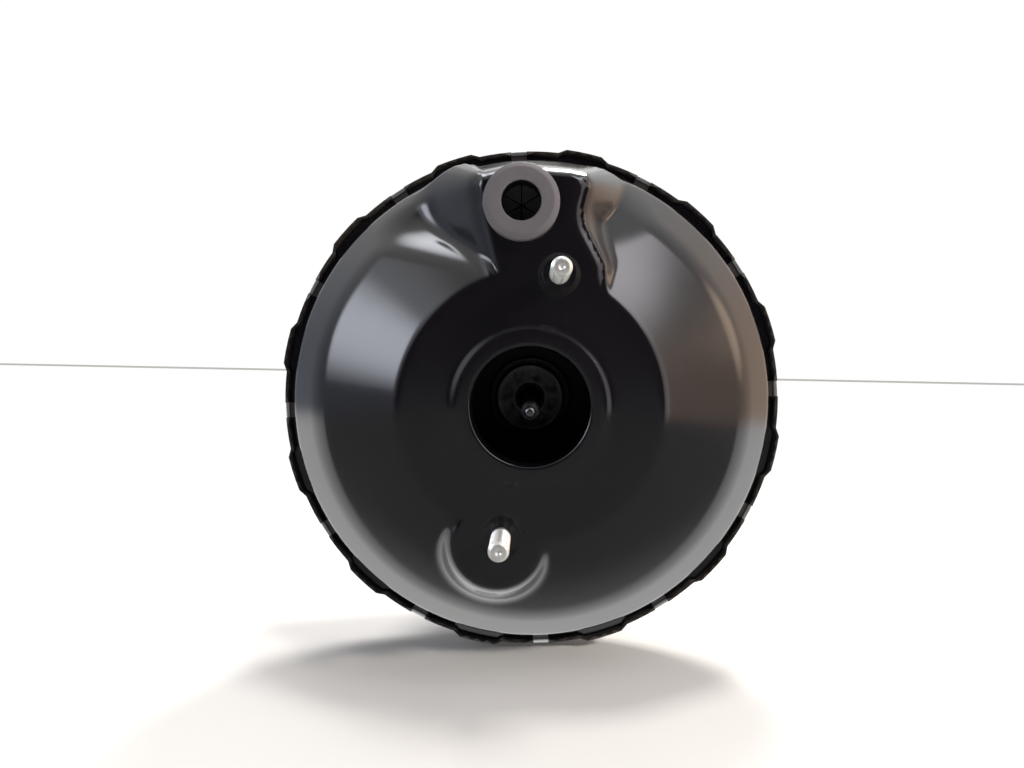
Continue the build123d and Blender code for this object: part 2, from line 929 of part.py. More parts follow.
def diaphragm():
    """Rubber diaphragm: inner bead in the valve body, web behind the plate, roll and outer bead."""
    top = collar_front - seat_gap
    back = top - diaphragm_wall
    bead_back = groove_back + 0.1
    bead_front = groove_back + groove_width - 0.1
    inner = groove_radius + running_gap
    outer = collar_radius + seat_gap
    web_outer = plate_outer_height - seat_gap
    roll_back = web_outer - diaphragm_wall
    roll_inner = diaphragm_roll_radius - diaphragm_wall
    outer_bead_back = ledge_height + shell_wall + running_gap
    outer_bead_front = outer_bead_back + diaphragm_bead_height
    bead_outer = skirt_radius - seat_gap
    corners = [
        (inner, bead_back),
        (outer + 2, bead_back),
        (outer + 2, back),
        (plate_inner_flat + 0.6, back),
        (plate_cone_foot + 0.6, roll_back),
        (diaphragm_roll_radius - 2, roll_back),
        (diaphragm_roll_radius + 1, outer_bead_back),
        (bead_outer, outer_bead_back),
        (bead_outer, outer_bead_front),
        (diaphragm_bead_inner, outer_bead_front),
        (diaphragm_bead_inner, outer_bead_back + diaphragm_wall),
        (roll_inner + 1, outer_bead_back + diaphragm_wall),
        (roll_inner - 2, web_outer),
        (plate_cone_foot + 0.1, web_outer),
        (plate_inner_flat + 0.1, top),
        (outer, top),
        (outer, bead_front),
        (inner, bead_front),
    ]
    return turned_outline(corners)


def return_spring():
    back = collar_front + plate_wall + running_gap
    front = face_height - shell_wall - reinforcement_wall - running_gap
    return spring(return_spring_radius, return_spring_wire, return_spring_turns, back, front)


# ---------------------------------------------------------------- control valve


def valve_plunger():
    """Air valve: stem with the key's groove, ball socket and the flange that is the air seat."""
    stem = plunger_bore_radius - running_gap
    flange_front = plunger_back + plunger_flange_wall
    plunger_front = reaction_bore_back - plunger_travel - seat_gap
    key_back = key_slot_back + key_gap * 2
    corners = [
        (0, plunger_back),
        (plunger_flange_radius, plunger_back),
        (plunger_flange_radius, flange_front),
        (stem, flange_front),
        (stem, key_back),
        (plunger_groove_radius, key_back),
        (plunger_groove_radius, key_back + key_wall + 2 * key_gap),
        (stem, key_back + key_wall + 2 * key_gap),
        (stem, plunger_front),
        (0, plunger_front),
    ]
    plunger = turned_outline(corners, {2: 0.6, 8: 0.6})
    socket = ball_radius + running_gap
    plunger -= Pos(0, 0, ball_height) * Sphere(socket)
    return plunger - disc(socket, plunger_back - 1, ball_height)


def stop_key():
    """Flat forked key through the valve body that limits the plunger's travel."""
    back = key_slot_back + key_gap * 3
    plan = Pos((key_reach - key_tail) / 2, 0, 0) * Rectangle(key_reach + key_tail, key_width)
    mouth = plunger_groove_radius + key_gap
    plan -= Circle(mouth)
    plan -= Pos(-key_tail, 0, 0) * Rectangle(2 * key_tail, 2 * mouth)
    corners = [v for v in plan.vertices() if v.X > key_reach - 1]
    plan = fillet(corners, 3.0)
    return extrude(Pos(0, 0, back) * plan, amount=key_wall)


def poppet_valve():
    """Rubber valve: seat disc that floats behind the plunger, sleeve and fixed bead."""
    front = plunger_back - poppet_lift
    back = front - poppet_wall
    sleeve_outer = poppet_sleeve_radius + poppet_sleeve_wall
    bead_front = poppet_bead_back + poppet_bead_wall
    bead_outer = tube_bore_radius - running_gap
    corners = [
        (poppet_inner_radius, back),
        (poppet_sleeve_radius, back),
        (poppet_sleeve_radius, poppet_bead_back),
        (bead_outer, poppet_bead_back),
        (bead_outer, bead_front),
        (sleeve_outer, bead_front),
        (sleeve_outer, back),
        (poppet_radius, back),
        (poppet_radius, front),
        (poppet_inner_radius, front),
    ]
    return turned_outline(corners, {8: 0.6, 4: 0.6})


def cup_back():
    return poppet_bead_back - running_gap - cup_wall


def poppet_retainer():
    return ring(cup_hole_radius, tube_bore_radius - running_gap, cup_back(), cup_back() + cup_wall)


def valve_spring():
    front = plunger_back - poppet_lift - poppet_wall - running_gap
    back = cup_back() + cup_wall + running_gap
    return spring(valve_spring_radius, valve_spring_wire, valve_spring_turns, back, front)


def washer_front():
    return cup_back() - rod_spring_length


def input_rod_spring():
    back = washer_front() + running_gap
    front = cup_back() - running_gap
    return spring(rod_spring_radius, rod_spring_wire, rod_spring_turns, back, front)


def rod_spring_washer():
    inner = input_rod_radius + running_gap
    return ring(inner, washer_radius, washer_front() - washer_wall, washer_front())


def air_filter():
    return ring(filter_hole_radius, tube_bore_radius - seat_gap, filter_back, filter_front)


def silencer_back():
    return filter_back - running_gap - silencer_wall


def filter_silencer():
    back = silencer_back()
    return ring(filter_hole_radius, tube_bore_radius - seat_gap, back, back + silencer_wall)


def filter_retainer():
    """Snap-in grid that closes the rear of the tube and lets air in round the rod."""
    back = tube_back - running_gap
    spigot_outer = tube_bore_radius - running_gap
    corners = [
        (cap_hole_radius, back - cap_wall),
        (tube_radius, back - cap_wall),
        (tube_radius, back),
        (spigot_outer, back),
        (spigot_outer, back + cap_spigot),
        (spigot_outer - 1.4, back + cap_spigot),
        (spigot_outer - 1.4, back),
        (cap_hole_radius, back),
    ]
    cap = turned_outline(corners, {1: 0.5})
    window = Pos(0, (cap_hole_radius + spigot_outer) / 2 - 0.7, 0) * slab(3.2, 4.2, back - 5, back + 5)
    for count in range(8):
        cap -= clocked(window, count * 45)
    return cap


# ---------------------------------------------------------------- input rod


def input_push_rod():
    rod = disc(input_rod_radius, input_rod_back, ball_height - 2)
    rod = chamfer(rod.faces().sort_by(Axis.Z)[0].outer_wire().edges(), stud_chamfer)
    return rod + Pos(0, 0, ball_height) * Sphere(ball_radius)


def clevis_lock_nut():
    front = clevis_front + nut_wall + running_gap
    back = clevis_front + running_gap
    blank = extrude(
        Pos(0, 0, back) * RegularPolygon(nut_hex / 2, 6, major_radius=False),
        amount=front - back,
    )
    corner_radius = nut_hex / math.sqrt(3)
    rounding = turned_outline(
        [
            (0, back),
            (nut_hex / 2, back),
            (corner_radius + 0.1, back + 0.9),
            (corner_radius + 0.1, front - 0.9),
            (nut_hex / 2, front),
            (0, front),
        ]
    )
    return (blank & rounding) - disc(input_rod_radius + running_gap, back - 1, front + 1)


def clevis():
    """Forged fork screwed on the input rod, with the pedal pin's bore through both ears."""
    ear_tip = clevis_depth / 2
    back = clevis_pin_height - ear_tip
    side = make_face(
        Polyline((clevis_pin_height, ear_tip), (clevis_front, ear_tip))
        + Line((clevis_front, ear_tip), (clevis_front, -ear_tip))
        + Line((clevis_front, -ear_tip), (clevis_pin_height, -ear_tip))
        + ThreePointArc((clevis_pin_height, -ear_tip), (back, 0), (clevis_pin_height, ear_tip))
    )
    side_plane = Plane(origin=(-clevis_width / 2, 0, 0), x_dir=(0, 0, 1), z_dir=(1, 0, 0))
    fork = extrude(side_plane * side, amount=clevis_width)
    gap = clevis_width - 2 * clevis_ear_wall
    fork -= slab(gap, clevis_depth + 2, back - 1, clevis_front - clevis_base)
    rims = [edge for edge in fork.edges() if abs(edge.center().Z - clevis_front) < 0.01]
    fork = chamfer(rims, 1.5)
    fork -= disc(input_rod_radius + running_gap, clevis_front - clevis_base - 1, clevis_front + 1)
    pin = Pos(0, 0, clevis_pin_height) * Rot(0, 90, 0) * Cylinder(clevis_pin_radius, clevis_width + 2)
    return fork - pin


pieces = {
    "front_shell": front_shell,
    "front_reinforcement": front_reinforcement,
    "master_cylinder_studs": master_cylinder_studs,
    "vacuum_grommet": vacuum_grommet,
    "rear_shell": rear_shell,
    "rear_reinforcement": rear_reinforcement,
    "firewall_studs": firewall_studs,
    "guide_bush": guide_bush,
    "rear_seal": rear_seal,
    "seal_retainer": seal_retainer,
    "dust_boot": dust_boot,
    "valve_body": valve_body,
    "reaction_disc": reaction_disc,
    "output_rod_retainer": output_rod_retainer,
    "diaphragm_plate": diaphragm_plate,
    "diaphragm": diaphragm,
    "return_spring": return_spring,
    "poppet_valve": poppet_valve,
    "poppet_retainer": poppet_retainer,
    "valve_spring": valve_spring,
    "air_filter": air_filter,
    "filter_silencer": filter_silencer,
    "filter_retainer": filter_retainer,
    "output_push_rod": output_push_rod,
    "output_rod_adjuster": output_rod_adjuster,
    "valve_plunger": valve_plunger,
    "stop_key": stop_key,
    "input_push_rod": input_push_rod,
    "rod_spring_washer": rod_spring_washer,
    "input_rod_spring": input_rod_spring,
    "clevis_lock_nut": clevis_lock_nut,
    "clevis": clevis,
}

os.makedirs("parts", exist_ok=True)
for name, make in pieces.items():
    export_step(Rot(90, 0, 0) * make(), f"parts/{name}.step")
    print(name)
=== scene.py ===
import json
import math
import bpy
import bmesh
import numpy as np
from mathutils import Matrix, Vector


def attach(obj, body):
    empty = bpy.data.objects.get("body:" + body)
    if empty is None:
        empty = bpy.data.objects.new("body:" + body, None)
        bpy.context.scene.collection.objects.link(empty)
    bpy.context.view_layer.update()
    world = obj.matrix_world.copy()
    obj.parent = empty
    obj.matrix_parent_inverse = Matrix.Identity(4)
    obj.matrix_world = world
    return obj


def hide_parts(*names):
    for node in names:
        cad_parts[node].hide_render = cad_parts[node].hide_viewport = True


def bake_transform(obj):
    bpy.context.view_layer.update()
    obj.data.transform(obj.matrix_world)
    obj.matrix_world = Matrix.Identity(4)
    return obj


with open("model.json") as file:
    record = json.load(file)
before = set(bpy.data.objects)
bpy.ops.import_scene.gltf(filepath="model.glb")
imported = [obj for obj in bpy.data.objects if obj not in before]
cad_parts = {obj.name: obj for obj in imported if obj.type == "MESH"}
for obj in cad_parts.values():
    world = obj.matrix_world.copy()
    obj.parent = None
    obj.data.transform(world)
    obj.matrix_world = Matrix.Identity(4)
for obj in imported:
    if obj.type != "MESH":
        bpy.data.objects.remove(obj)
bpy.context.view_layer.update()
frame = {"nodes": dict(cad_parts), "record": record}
scene = bpy.context.scene
slotOfNode = {entry["node"]: entry["material_slot"] for entry in frame["record"]["subparts"]}
bodyOfNode = {node: body for body, nodes in frame["record"]["behaviour"]["bodies"].items() for node in nodes}


# pieces are drawn in millimetres, with the booster's axis along Z and its front towards +Z,
# and this lays them in the shared frame, in metres, with the front towards -Y
def toFrame(points):
    points = np.asarray(points, float)
    return np.stack([points[..., 0], -points[..., 2], points[..., 1]], -1) / 1000


def linearColour(hexText):
    parts = [int(hexText[i:i + 2], 16) / 255 for i in (1, 3, 5)]
    return tuple(c / 12.92 if c <= 0.04045 else ((c + 0.055) / 1.055) ** 2.4 for c in parts) + (1.0,)


def addNode(tree, kind, inputs=None, **settings):
    node = tree.nodes.new(kind)
    for key, value in settings.items():
        setattr(node, key, value)
    for key, value in (inputs or {}).items():
        if isinstance(value, bpy.types.NodeSocket):
            tree.links.new(value, node.inputs[key])
        else:
            node.inputs[key].default_value = value
    return node


def clockPoint(radius, angle):    # angle runs clockwise from the top, seen from the front
    return radius * math.sin(math.radians(angle)), radius * math.cos(math.radians(angle))


camera = {
    "eye": (0.0, -0.434, 0.018),
    "axisPixel": (530, 361),      # where lines along the booster's axis meet
    "focalPixels": 822,
    "frameWide": 1024,
    "frameHigh": 768,
    "nearest": 0.01, "farthest": 60,
}
offX = (camera["axisPixel"][0] - camera["frameWide"] / 2) / camera["focalPixels"]
offY = (camera["frameHigh"] / 2 - camera["axisPixel"][1]) / camera["focalPixels"]
camData = bpy.data.cameras.new("bench_camera")
camData.lens = camera["focalPixels"] / camera["frameWide"] * camData.sensor_width
camData.clip_start = camera["nearest"]
camData.clip_end = camera["farthest"]
camObj = bpy.data.objects.new("bench_camera", camData)
scene.collection.objects.link(camObj)
camObj.location = camera["eye"]
camObj.rotation_euler = Vector((-offX, 1, -offY)).to_track_quat("-Z", "Y").to_euler()
scene.camera = camObj
scene.view_settings.view_transform = "Standard"
print("camera set")


def newMaterial(name):
    material = bpy.data.materials.new(name)
    material.use_nodes = True
    tree = material.node_tree
    shader = tree.nodes["Principled BSDF"]
    place = addNode(tree, "ShaderNodeTexCoord").outputs["Object"]
    return material, tree, shader, place


enamel = {
    "black": "#0c0b0e",
    "worn": "#131216",
    "rimBlack": "#2c2927",      # lighter, browner and duller on the rear shell
    "rimWorn": "#3a3634",
    "dust": "#8d8a88",
    "roughness": 0.14, "smoother": 0.02, "rougher": 0.04,
    "wearPitch": 38,       # mm from one worn patch to the next
    "peelPitch": 2.2,      # orange peel of a dipped and baked paint, mm from bump to bump
    "peelHeight": 0.004,
    "dustPitch": 0.9,      # mm between specks, drawn coarser than dust is, so that it shows
    "dustPatch": 30,
    "ior": 1.5,
}


# electro-dipped black enamel on pressed steel: near black, glossy, a faint orange peel, a little dust
def blackEnamel(name, roughness, peelHeight, dustAmount, dark="black", light="worn"):
    e = enamel
    material, tree, shader, place = newMaterial(name)
    wear = addNode(tree, "ShaderNodeTexNoise", {"Vector": place, "Scale": 1000 / e["wearPitch"], "Detail": 4.0,
                                               "Roughness": 0.6})
    peel = addNode(tree, "ShaderNodeTexNoise", {"Vector": place, "Scale": 1000 / e["peelPitch"], "Detail": 2.0})
    body = addNode(tree, "ShaderNodeMix", {"Factor": wear.outputs["Fac"], 6: linearColour(e[dark]),
                                          7: linearColour(e[light])}, data_type="RGBA")
    specks = addNode(tree, "ShaderNodeTexVoronoi", {"Vector": place, "Scale": 1000 / e["dustPitch"]})
    patches = addNode(tree, "ShaderNodeTexNoise", {"Vector": place, "Scale": 1000 / e["dustPatch"], "Detail": 3.0})
    speckEdge = addNode(tree, "ShaderNodeMapRange", {"Value": specks.outputs["Distance"], "From Min": 0.16,
                                                    "From Max": 0.08})
    patchEdge = addNode(tree, "ShaderNodeMapRange", {"Value": patches.outputs["Fac"], "From Min": 0.58,
                                                    "From Max": 0.72, "To Max": dustAmount})
    dusty = addNode(tree, "ShaderNodeMath", {0: speckEdge.outputs["Result"], 1: patchEdge.outputs["Result"]},
                    operation="MULTIPLY")
    colour = addNode(tree, "ShaderNodeMix", {"Factor": dusty.outputs[0], 6: body.outputs[2],
                                            7: linearColour(e["dust"])}, data_type="RGBA")
    tree.links.new(colour.outputs[2], shader.inputs["Base Color"])
    gloss = addNode(tree, "ShaderNodeMapRange", {"Value": wear.outputs["Fac"], "From Min": 0.3, "From Max": 0.7,
                                                "To Min": roughness - e["smoother"],
                                                "To Max": roughness + e["rougher"]})
    tree.links.new(gloss.outputs["Result"], shader.inputs["Roughness"])
    bump = addNode(tree, "ShaderNodeBump", {"Height": peel.outputs["Fac"], "Strength": 0.35,
                                           "Distance": peelHeight / 1000})
    tree.links.new(bump.outputs["Normal"], shader.inputs["Normal"])
    shader.inputs["IOR"].default_value = e["ior"]
    return material


frontEnamel = blackEnamel("baked_black_enamel", enamel["roughness"], enamel["peelHeight"], 0.16)
rearEnamel = blackEnamel("black_enamel_rear", 0.42, 0.006, 0.2, "rimBlack", "rimWorn")


# rolled or drawn steel with a thin plating: a metal sheen broken by a fine grain, given in millimetres
def platedSteel(name, hexText, roughness, metallic=1.0, grain=0.8):
    material, tree, shader, place = newMaterial(name)
    noise = addNode(tree, "ShaderNodeTexNoise", {"Vector": place, "Scale": 1000 / grain, "Detail": 3.0})
    gloss = addNode(tree, "ShaderNodeMapRange", {"Value": noise.outputs["Fac"], "From Min": 0.3, "From Max": 0.7,
                                                "To Min": roughness - 0.06, "To Max": roughness + 0.08})
    tree.links.new(gloss.outputs["Result"], shader.inputs["Roughness"])
    shader.inputs["Base Color"].default_value = linearColour(hexText)
    shader.inputs["Metallic"].default_value = metallic
    bump = addNode(tree, "ShaderNodeBump", {"Height": noise.outputs["Fac"], "Strength": 0.2, "Distance": 0.00002})
    tree.links.new(bump.outputs["Normal"], shader.inputs["Normal"])
    return material


# moulded rubber, nylon or thermoset: dull, faintly mottled, with a fine mould texture
def mouldedPolymer(name, hexText, mottleHex, roughness, grain):
    material, tree, shader, place = newMaterial(name)
    noise = addNode(tree, "ShaderNodeTexNoise", {"Vector": place, "Scale": 1000 / grain, "Detail": 5.0})
    mix = addNode(tree, "ShaderNodeMix", {"Factor": noise.outputs["Fac"], 6: linearColour(hexText),
                                         7: linearColour(mottleHex)}, data_type="RGBA")
    tree.links.new(mix.outputs[2], shader.inputs["Base Color"])
    shader.inputs["Roughness"].default_value = roughness
    bump = addNode(tree, "ShaderNodeBump", {"Height": noise.outputs["Fac"], "Strength": 0.3, "Distance": 0.00003})
    tree.links.new(bump.outputs["Normal"], shader.inputs["Normal"])
    return material


zincPlate = platedSteel("bright_zinc_plate", "#dcdcd8", 0.34, 0.7)
blackPhosphate = platedSteel("black_phosphate", "#2b2b2d", 0.5, 0.6)
shearedSteel = platedSteel("sheared_steel", "#b4b6b5", 0.42, 0.85, 0.5)
springSteel = platedSteel("oiled_spring_steel", "#6c6e70", 0.34)
portRubber = mouldedPolymer("port_rubber", "#5e5b5f", "#68656a", 0.62, 3.0)
# a near-black copy of the port rubber: painted shade for the inside of the bore
boreShadeRubber = mouldedPolymer("port_rubber_painted_shade", "#161518", "#1c1b1e", 0.5, 3.0)
bootRubber = mouldedPolymer("boot_rubber", "#232325", "#2c2c2e", 0.6, 4.0)
blackNylon = mouldedPolymer("black_nylon", "#1b1b1d", "#232325", 0.45, 1.5)
thermoset = mouldedPolymer("dark_thermoset", "#3b3531", "#463f3a", 0.45, 1.2)
filledNylon = mouldedPolymer("glass_filled_nylon", "#77757b", "#828086", 0.4, 1.5)
naturalNylon = mouldedPolymer("natural_nylon", "#cfc9b6", "#d6d0be", 0.5, 2.0)
filterFelt = mouldedPolymer("grey_felt", "#77776f", "#8b8b82", 0.95, 0.4)
finishOfSlot = {
    "black_paint": rearEnamel, "zinc_plate": zincPlate, "black_phosphate": blackPhosphate,
    "spring_steel": springSteel, "moulded_rubber": bootRubber, "phenolic": thermoset,
    "nylon_black": blackNylon, "nylon": naturalNylon, "felt": filterFelt,
}
print("materials made")


def addObject(name, points, faces):
    mesh = bpy.data.meshes.new(name)
    mesh.from_pydata(toFrame(points).reshape(-1, 3).tolist(), [], faces)
    mesh.update()
    obj = bpy.data.objects.new(name, mesh)
    scene.collection.objects.link(obj)
    return obj


def finishPiece(obj, material, node, sharpAngle=35, body=None, replaced=True):
    obj.data.materials.clear()
    obj.data.materials.append(material)
    obj.data.shade_smooth()
    obj.data.set_sharp_from_angle(angle=math.radians(sharpAngle))
    if replaced:
        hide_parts(node)
    if body != "blend":
        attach(obj, body or bodyOfNode[node])
    return obj


def bakeModifiers(obj):
    graph = bpy.context.evaluated_depsgraph_get()
    mesh = bpy.data.meshes.new_from_object(obj.evaluated_get(graph))
    obj.modifiers.clear()
    obj.data = mesh


def cleanMesh(obj, merge=False, fill=False, outward=True):
    work = bmesh.new()
    work.from_mesh(obj.data)
    if merge:
        bmesh.ops.remove_doubles(work, verts=work.verts, dist=1e-7)
    if fill:
        bmesh.ops.holes_fill(work, edges=[e for e in work.edges if e.is_boundary], sides=0)
    if outward:
        bmesh.ops.recalc_face_normals(work, faces=work.faces)
    work.to_mesh(obj.data)
    work.free()
    return obj


def ringFaces(rows, columns):    # quads between rows of points, each row closed into a ring
    index = np.arange(rows * columns).reshape(rows, columns)
    after = np.roll(index, -1, 1)
    return np.stack([index[:-1], after[:-1], after[1:], index[1:]], -1).reshape(-1, 4).tolist()


def lathe(name, profile, steps):    # profile is (radius, height), drawn so that its outside is on the right
    angles = np.linspace(0, 2 * math.pi, steps, endpoint=False)
    profile = np.asarray(profile, float)
    rows = np.stack([
        profile[:, :1] * np.sin(angles), profile[:, :1] * np.cos(angles), np.repeat(profile[:, 1:], steps, 1),
    ], -1)
    return addObject(name, rows, ringFaces(len(profile), steps))


def softProfile(corners, step):    # corners are (radius, height, round), walked with every corner rounded
    points = []
    for i in range(len(corners)):
        here, rounding = np.array(corners[i][:2], float), corners[i][2]
        before, after = np.array(corners[i - 1][:2], float), np.array(corners[(i + 1) % len(corners)][:2], float)
        if rounding <= 0:
            points.append(here)
            continue
        a, b = (before - here) / np.linalg.norm(before - here), (after - here) / np.linalg.norm(after - here)
        half = math.acos(max(-1, min(1, float(a @ b)))) / 2
        reach = rounding / math.tan(half)
        start, end = here + a * reach, here + b * reach
        count = max(3, int(rounding * (math.pi - 2 * half) / step))
        for k in range(count + 1):
            t = k / count
            points.append((1 - t) ** 2 * start + 2 * t * (1 - t) * here + t * t * end)
    return np.array(points)


def dressNode(node, material, body=None):    # a smooth-shaded copy of a CAD piece
    copy = bpy.data.objects.new(node + "_look", frame["nodes"][node].data.copy())
    scene.collection.objects.link(copy)
    cleanMesh(copy, merge=True, outward=False)
    return finishPiece(copy, material, node, body=body)


def turnedPiece(name, corners, step=0.5, steps=120):    # a closed outline spun round the booster's axis
    profile = softProfile(corners, step)
    return cleanMesh(lathe(name, np.vstack([profile, profile[:1]]), steps), merge=True)


def repeatPart(holder, part, material, inputs=(), place=None):    # geometry nodes set copies of the part on points
    tree = bpy.data.node_groups.new(holder.name + "_tree", "GeometryNodeTree")
    tree.interface.new_socket("Geometry", in_out="INPUT", socket_type="NodeSocketGeometry")
    values = [("Part", "NodeSocketObject", part), *inputs, ("Finish", "NodeSocketMaterial", material)]
    sockets = [tree.interface.new_socket(label, in_out="INPUT", socket_type=kind) for label, kind, value in values]
    tree.interface.new_socket("Geometry", in_out="OUTPUT", socket_type="NodeSocketGeometry")
    entry, out = tree.nodes.new("NodeGroupInput"), tree.nodes.new("NodeGroupOutput")
    spots = place(tree, entry) if place else {"Points": entry.outputs["Geometry"]}
    info = addNode(tree, "GeometryNodeObjectInfo", {"Object": entry.outputs["Part"]})
    copies = addNode(tree, "GeometryNodeInstanceOnPoints", {"Instance": info.outputs["Geometry"], **spots})
    real = addNode(tree, "GeometryNodeRealizeInstances", {"Geometry": copies.outputs["Instances"]})
    painted = addNode(tree, "GeometryNodeSetMaterial", {"Geometry": real.outputs["Geometry"],
                                                       "Material": entry.outputs["Finish"]})
    tree.links.new(painted.outputs["Geometry"], out.inputs["Geometry"])
    modifier = holder.modifiers.new("copies", "NODES")
    modifier.node_group = tree
    for socket, (label, kind, value) in zip(sockets, values):
        modifier[socket.identifier] = value
    bakeModifiers(holder)
    bpy.data.objects.remove(part)
    return holder


# heights above the frame's origin and radii from the axis; x to the right and y up, seen from the front
frontShell = {
    "face": 109.0, "discRadius": 53.0, "discBlend": 1.6,
    "creaseRadius": 92.0, "creaseHeight": 82.0, "creaseBlend": 3.4,    # between the cone and the shoulder
    "drumRadius": 110.0, "shoulderFoot": 56.0, "drumStart": 50.5, "wall": 1.5,
    "flangeHeight": 46.0, "flangeRadius": 113.7,
    "keyHalfWidth": 11.45, "keyReach": 115.55, "keyFirst": 12.4,
    "pilotRadius": 23.7, "collarDepth": 13.0, "mouthRound": 1.3,
    "bossTop": 28.8, "bossFoot": 33.6, "bossRise": 1.8,
    "terraceFloor": 69.0, "terraceEnd": 101.0, "terraceFall": 0.95, "floorFall": 0.18,
    "leftStart": (-12.0, 55.6), "leftSlope": 13.0, "leftRidge": 5.5, "leftFoot": 13.0,    # wall left of the pad
    "noseEnd": (26.0, 59.4), "noseBlend": 5.0,    # the wall's short side towards the disc
    "handOver": (-4, 14),    # across these x the left wall gives way to the right slope
    "facetCorner": (32.9, 65.7, 94.8), "facetFall": (0.22, 0.865),    # slope right of the pad
    "facetRidge": 1.2, "facetFoot": 5.0,
    "padDrafts": (32.0, 16.0, 25.0),    # left, outer end and right
    "padBlend": 6.0, "padFootBlend": 4.0, "padEndBlend": 13.0, "padEnd": (82, 90),
    "lobeCentre": (-13.4, -54.7), "lobeRadius": 18.6, "lobeDraft": 26.0, "lobeBlend": 6.0, "lobeFootBlend": 3.5,
    "blendReach": 4.0,    # how far from equal heights one edge's round runs into another's
    "studCircle": 53.5, "studClock": 12.5, "coinRadius": 7.6, "coinDepth": 0.4, "coinEdge": 0.9,
    "portCentre": (-3.4, 79.9), "portHole": 11.0,
    # the mesh's steps round the clock, closest at the pad and the terrace, and its steps outwards
    "clockSteps": [(-54, 62, 0.6), (62, 168, 2.0), (168, 218, 1.0), (218, 306, 2.0)],
    "radiusSteps": [(25.6, 50, 1.05), (50, 98, 0.8), (98, 106.6, 0.62)],
}
padCorners = [    # x, y, round
    (-21.5, 91.8, 6.0), (-19.0, 76.0, 8.0), (-12.5, 50.0, 0), (-11.0, 26.0, 0),
    (29.5, 26.0, 0), (29.5, 56.0, 12.0), (19.5, 75.0, 17.0), (25.0, 91.6, 8.0),
    (16.0, 93.1, 0), (0.0, 94.5, 0), (-10.0, 94.0, 0),
]


def softMin(a, b, blend):
    gap = np.clip(blend - np.abs(a - b), 0, None) / blend
    return np.minimum(a, b) - gap * gap * blend / 4


def softMax(a, b, blend):
    return -softMin(-a, -b, blend)


def easeStep(value, low, high):
    t = np.clip((value - low) / (high - low), 0, 1)
    return t * t * (3 - 2 * t)


# distance to a closed outline, negative inside it, and how far to the right of the outline the point lies
def outlineDistance(x, y, outline):
    best, inside, aside = np.full(x.shape, 1e9), np.zeros(x.shape, bool), np.zeros(x.shape)
    for a, b in zip(outline, np.roll(outline, -1, 0)):
        edge = b - a
        t = np.clip(((x - a[0]) * edge[0] + (y - a[1]) * edge[1]) / (edge @ edge), 0, 1)
        away = np.hypot(x - a[0] - t * edge[0], y - a[1] - t * edge[1])
        aside = np.where(away < best, (x - a[0] - t * edge[0]) / np.maximum(away, 1e-6), aside)
        best = np.minimum(best, away)
        if a[1] != b[1]:
            crossX = a[0] + (y - a[1]) * edge[0] / edge[1]
            inside ^= ((a[1] > y) != (b[1] > y)) & (x < crossX)
    return np.where(inside, -best, best), aside


def terracedCone(x, y, radius):    # the cone and the shoulder, with the terrace sunk into them beside the pad
    s = frontShell
    coneSlope = (s["face"] - s["creaseHeight"]) / (s["creaseRadius"] - s["discRadius"])
    shoulderSlope = (s["creaseHeight"] - s["shoulderFoot"]) / (s["drumRadius"] - s["creaseRadius"])
    cone = s["face"] - (radius - s["discRadius"]) * coneSlope
    shoulder = s["creaseHeight"] - (radius - s["creaseRadius"]) * shoulderSlope
    leftRise = math.tan(math.radians(s["leftSlope"]))
    startX, startY = s["leftStart"]
    endX, endY = s["noseEnd"]
    noseRise = (endY - startY) / (endX - startX)
    wall = (y - startY - (startX - x) * leftRise) / math.hypot(1, leftRise)
    nose = (y - startY - (x - startX) * noseRise) / math.hypot(1, noseRise)
    terrace = cone - softMin(wall, nose, s["noseBlend"]) * s["terraceFall"]
    floor = s["terraceFloor"] + (s["terraceEnd"] - radius) * s["floorFall"]
    terrace = softMax(terrace, floor, s["leftFoot"])
    cornerX, cornerY, cornerHeight = s["facetCorner"]
    facet = cornerHeight - s["facetFall"][0] * (x - cornerX) - s["facetFall"][1] * (y - cornerY)
    onRight = easeStep(x, *s["handOver"])
    onFacet = easeStep(cone - facet, 0, s["facetFoot"]) * onRight
    left = softMin(softMin(cone, shoulder, s["creaseBlend"]), terrace, s["leftRidge"])
    right = softMin(softMin(cone, facet, s["facetRidge"]), shoulder,
                    s["creaseBlend"] + (s["facetFoot"] - s["creaseBlend"]) * onFacet)
    return left + (right - left) * onRight


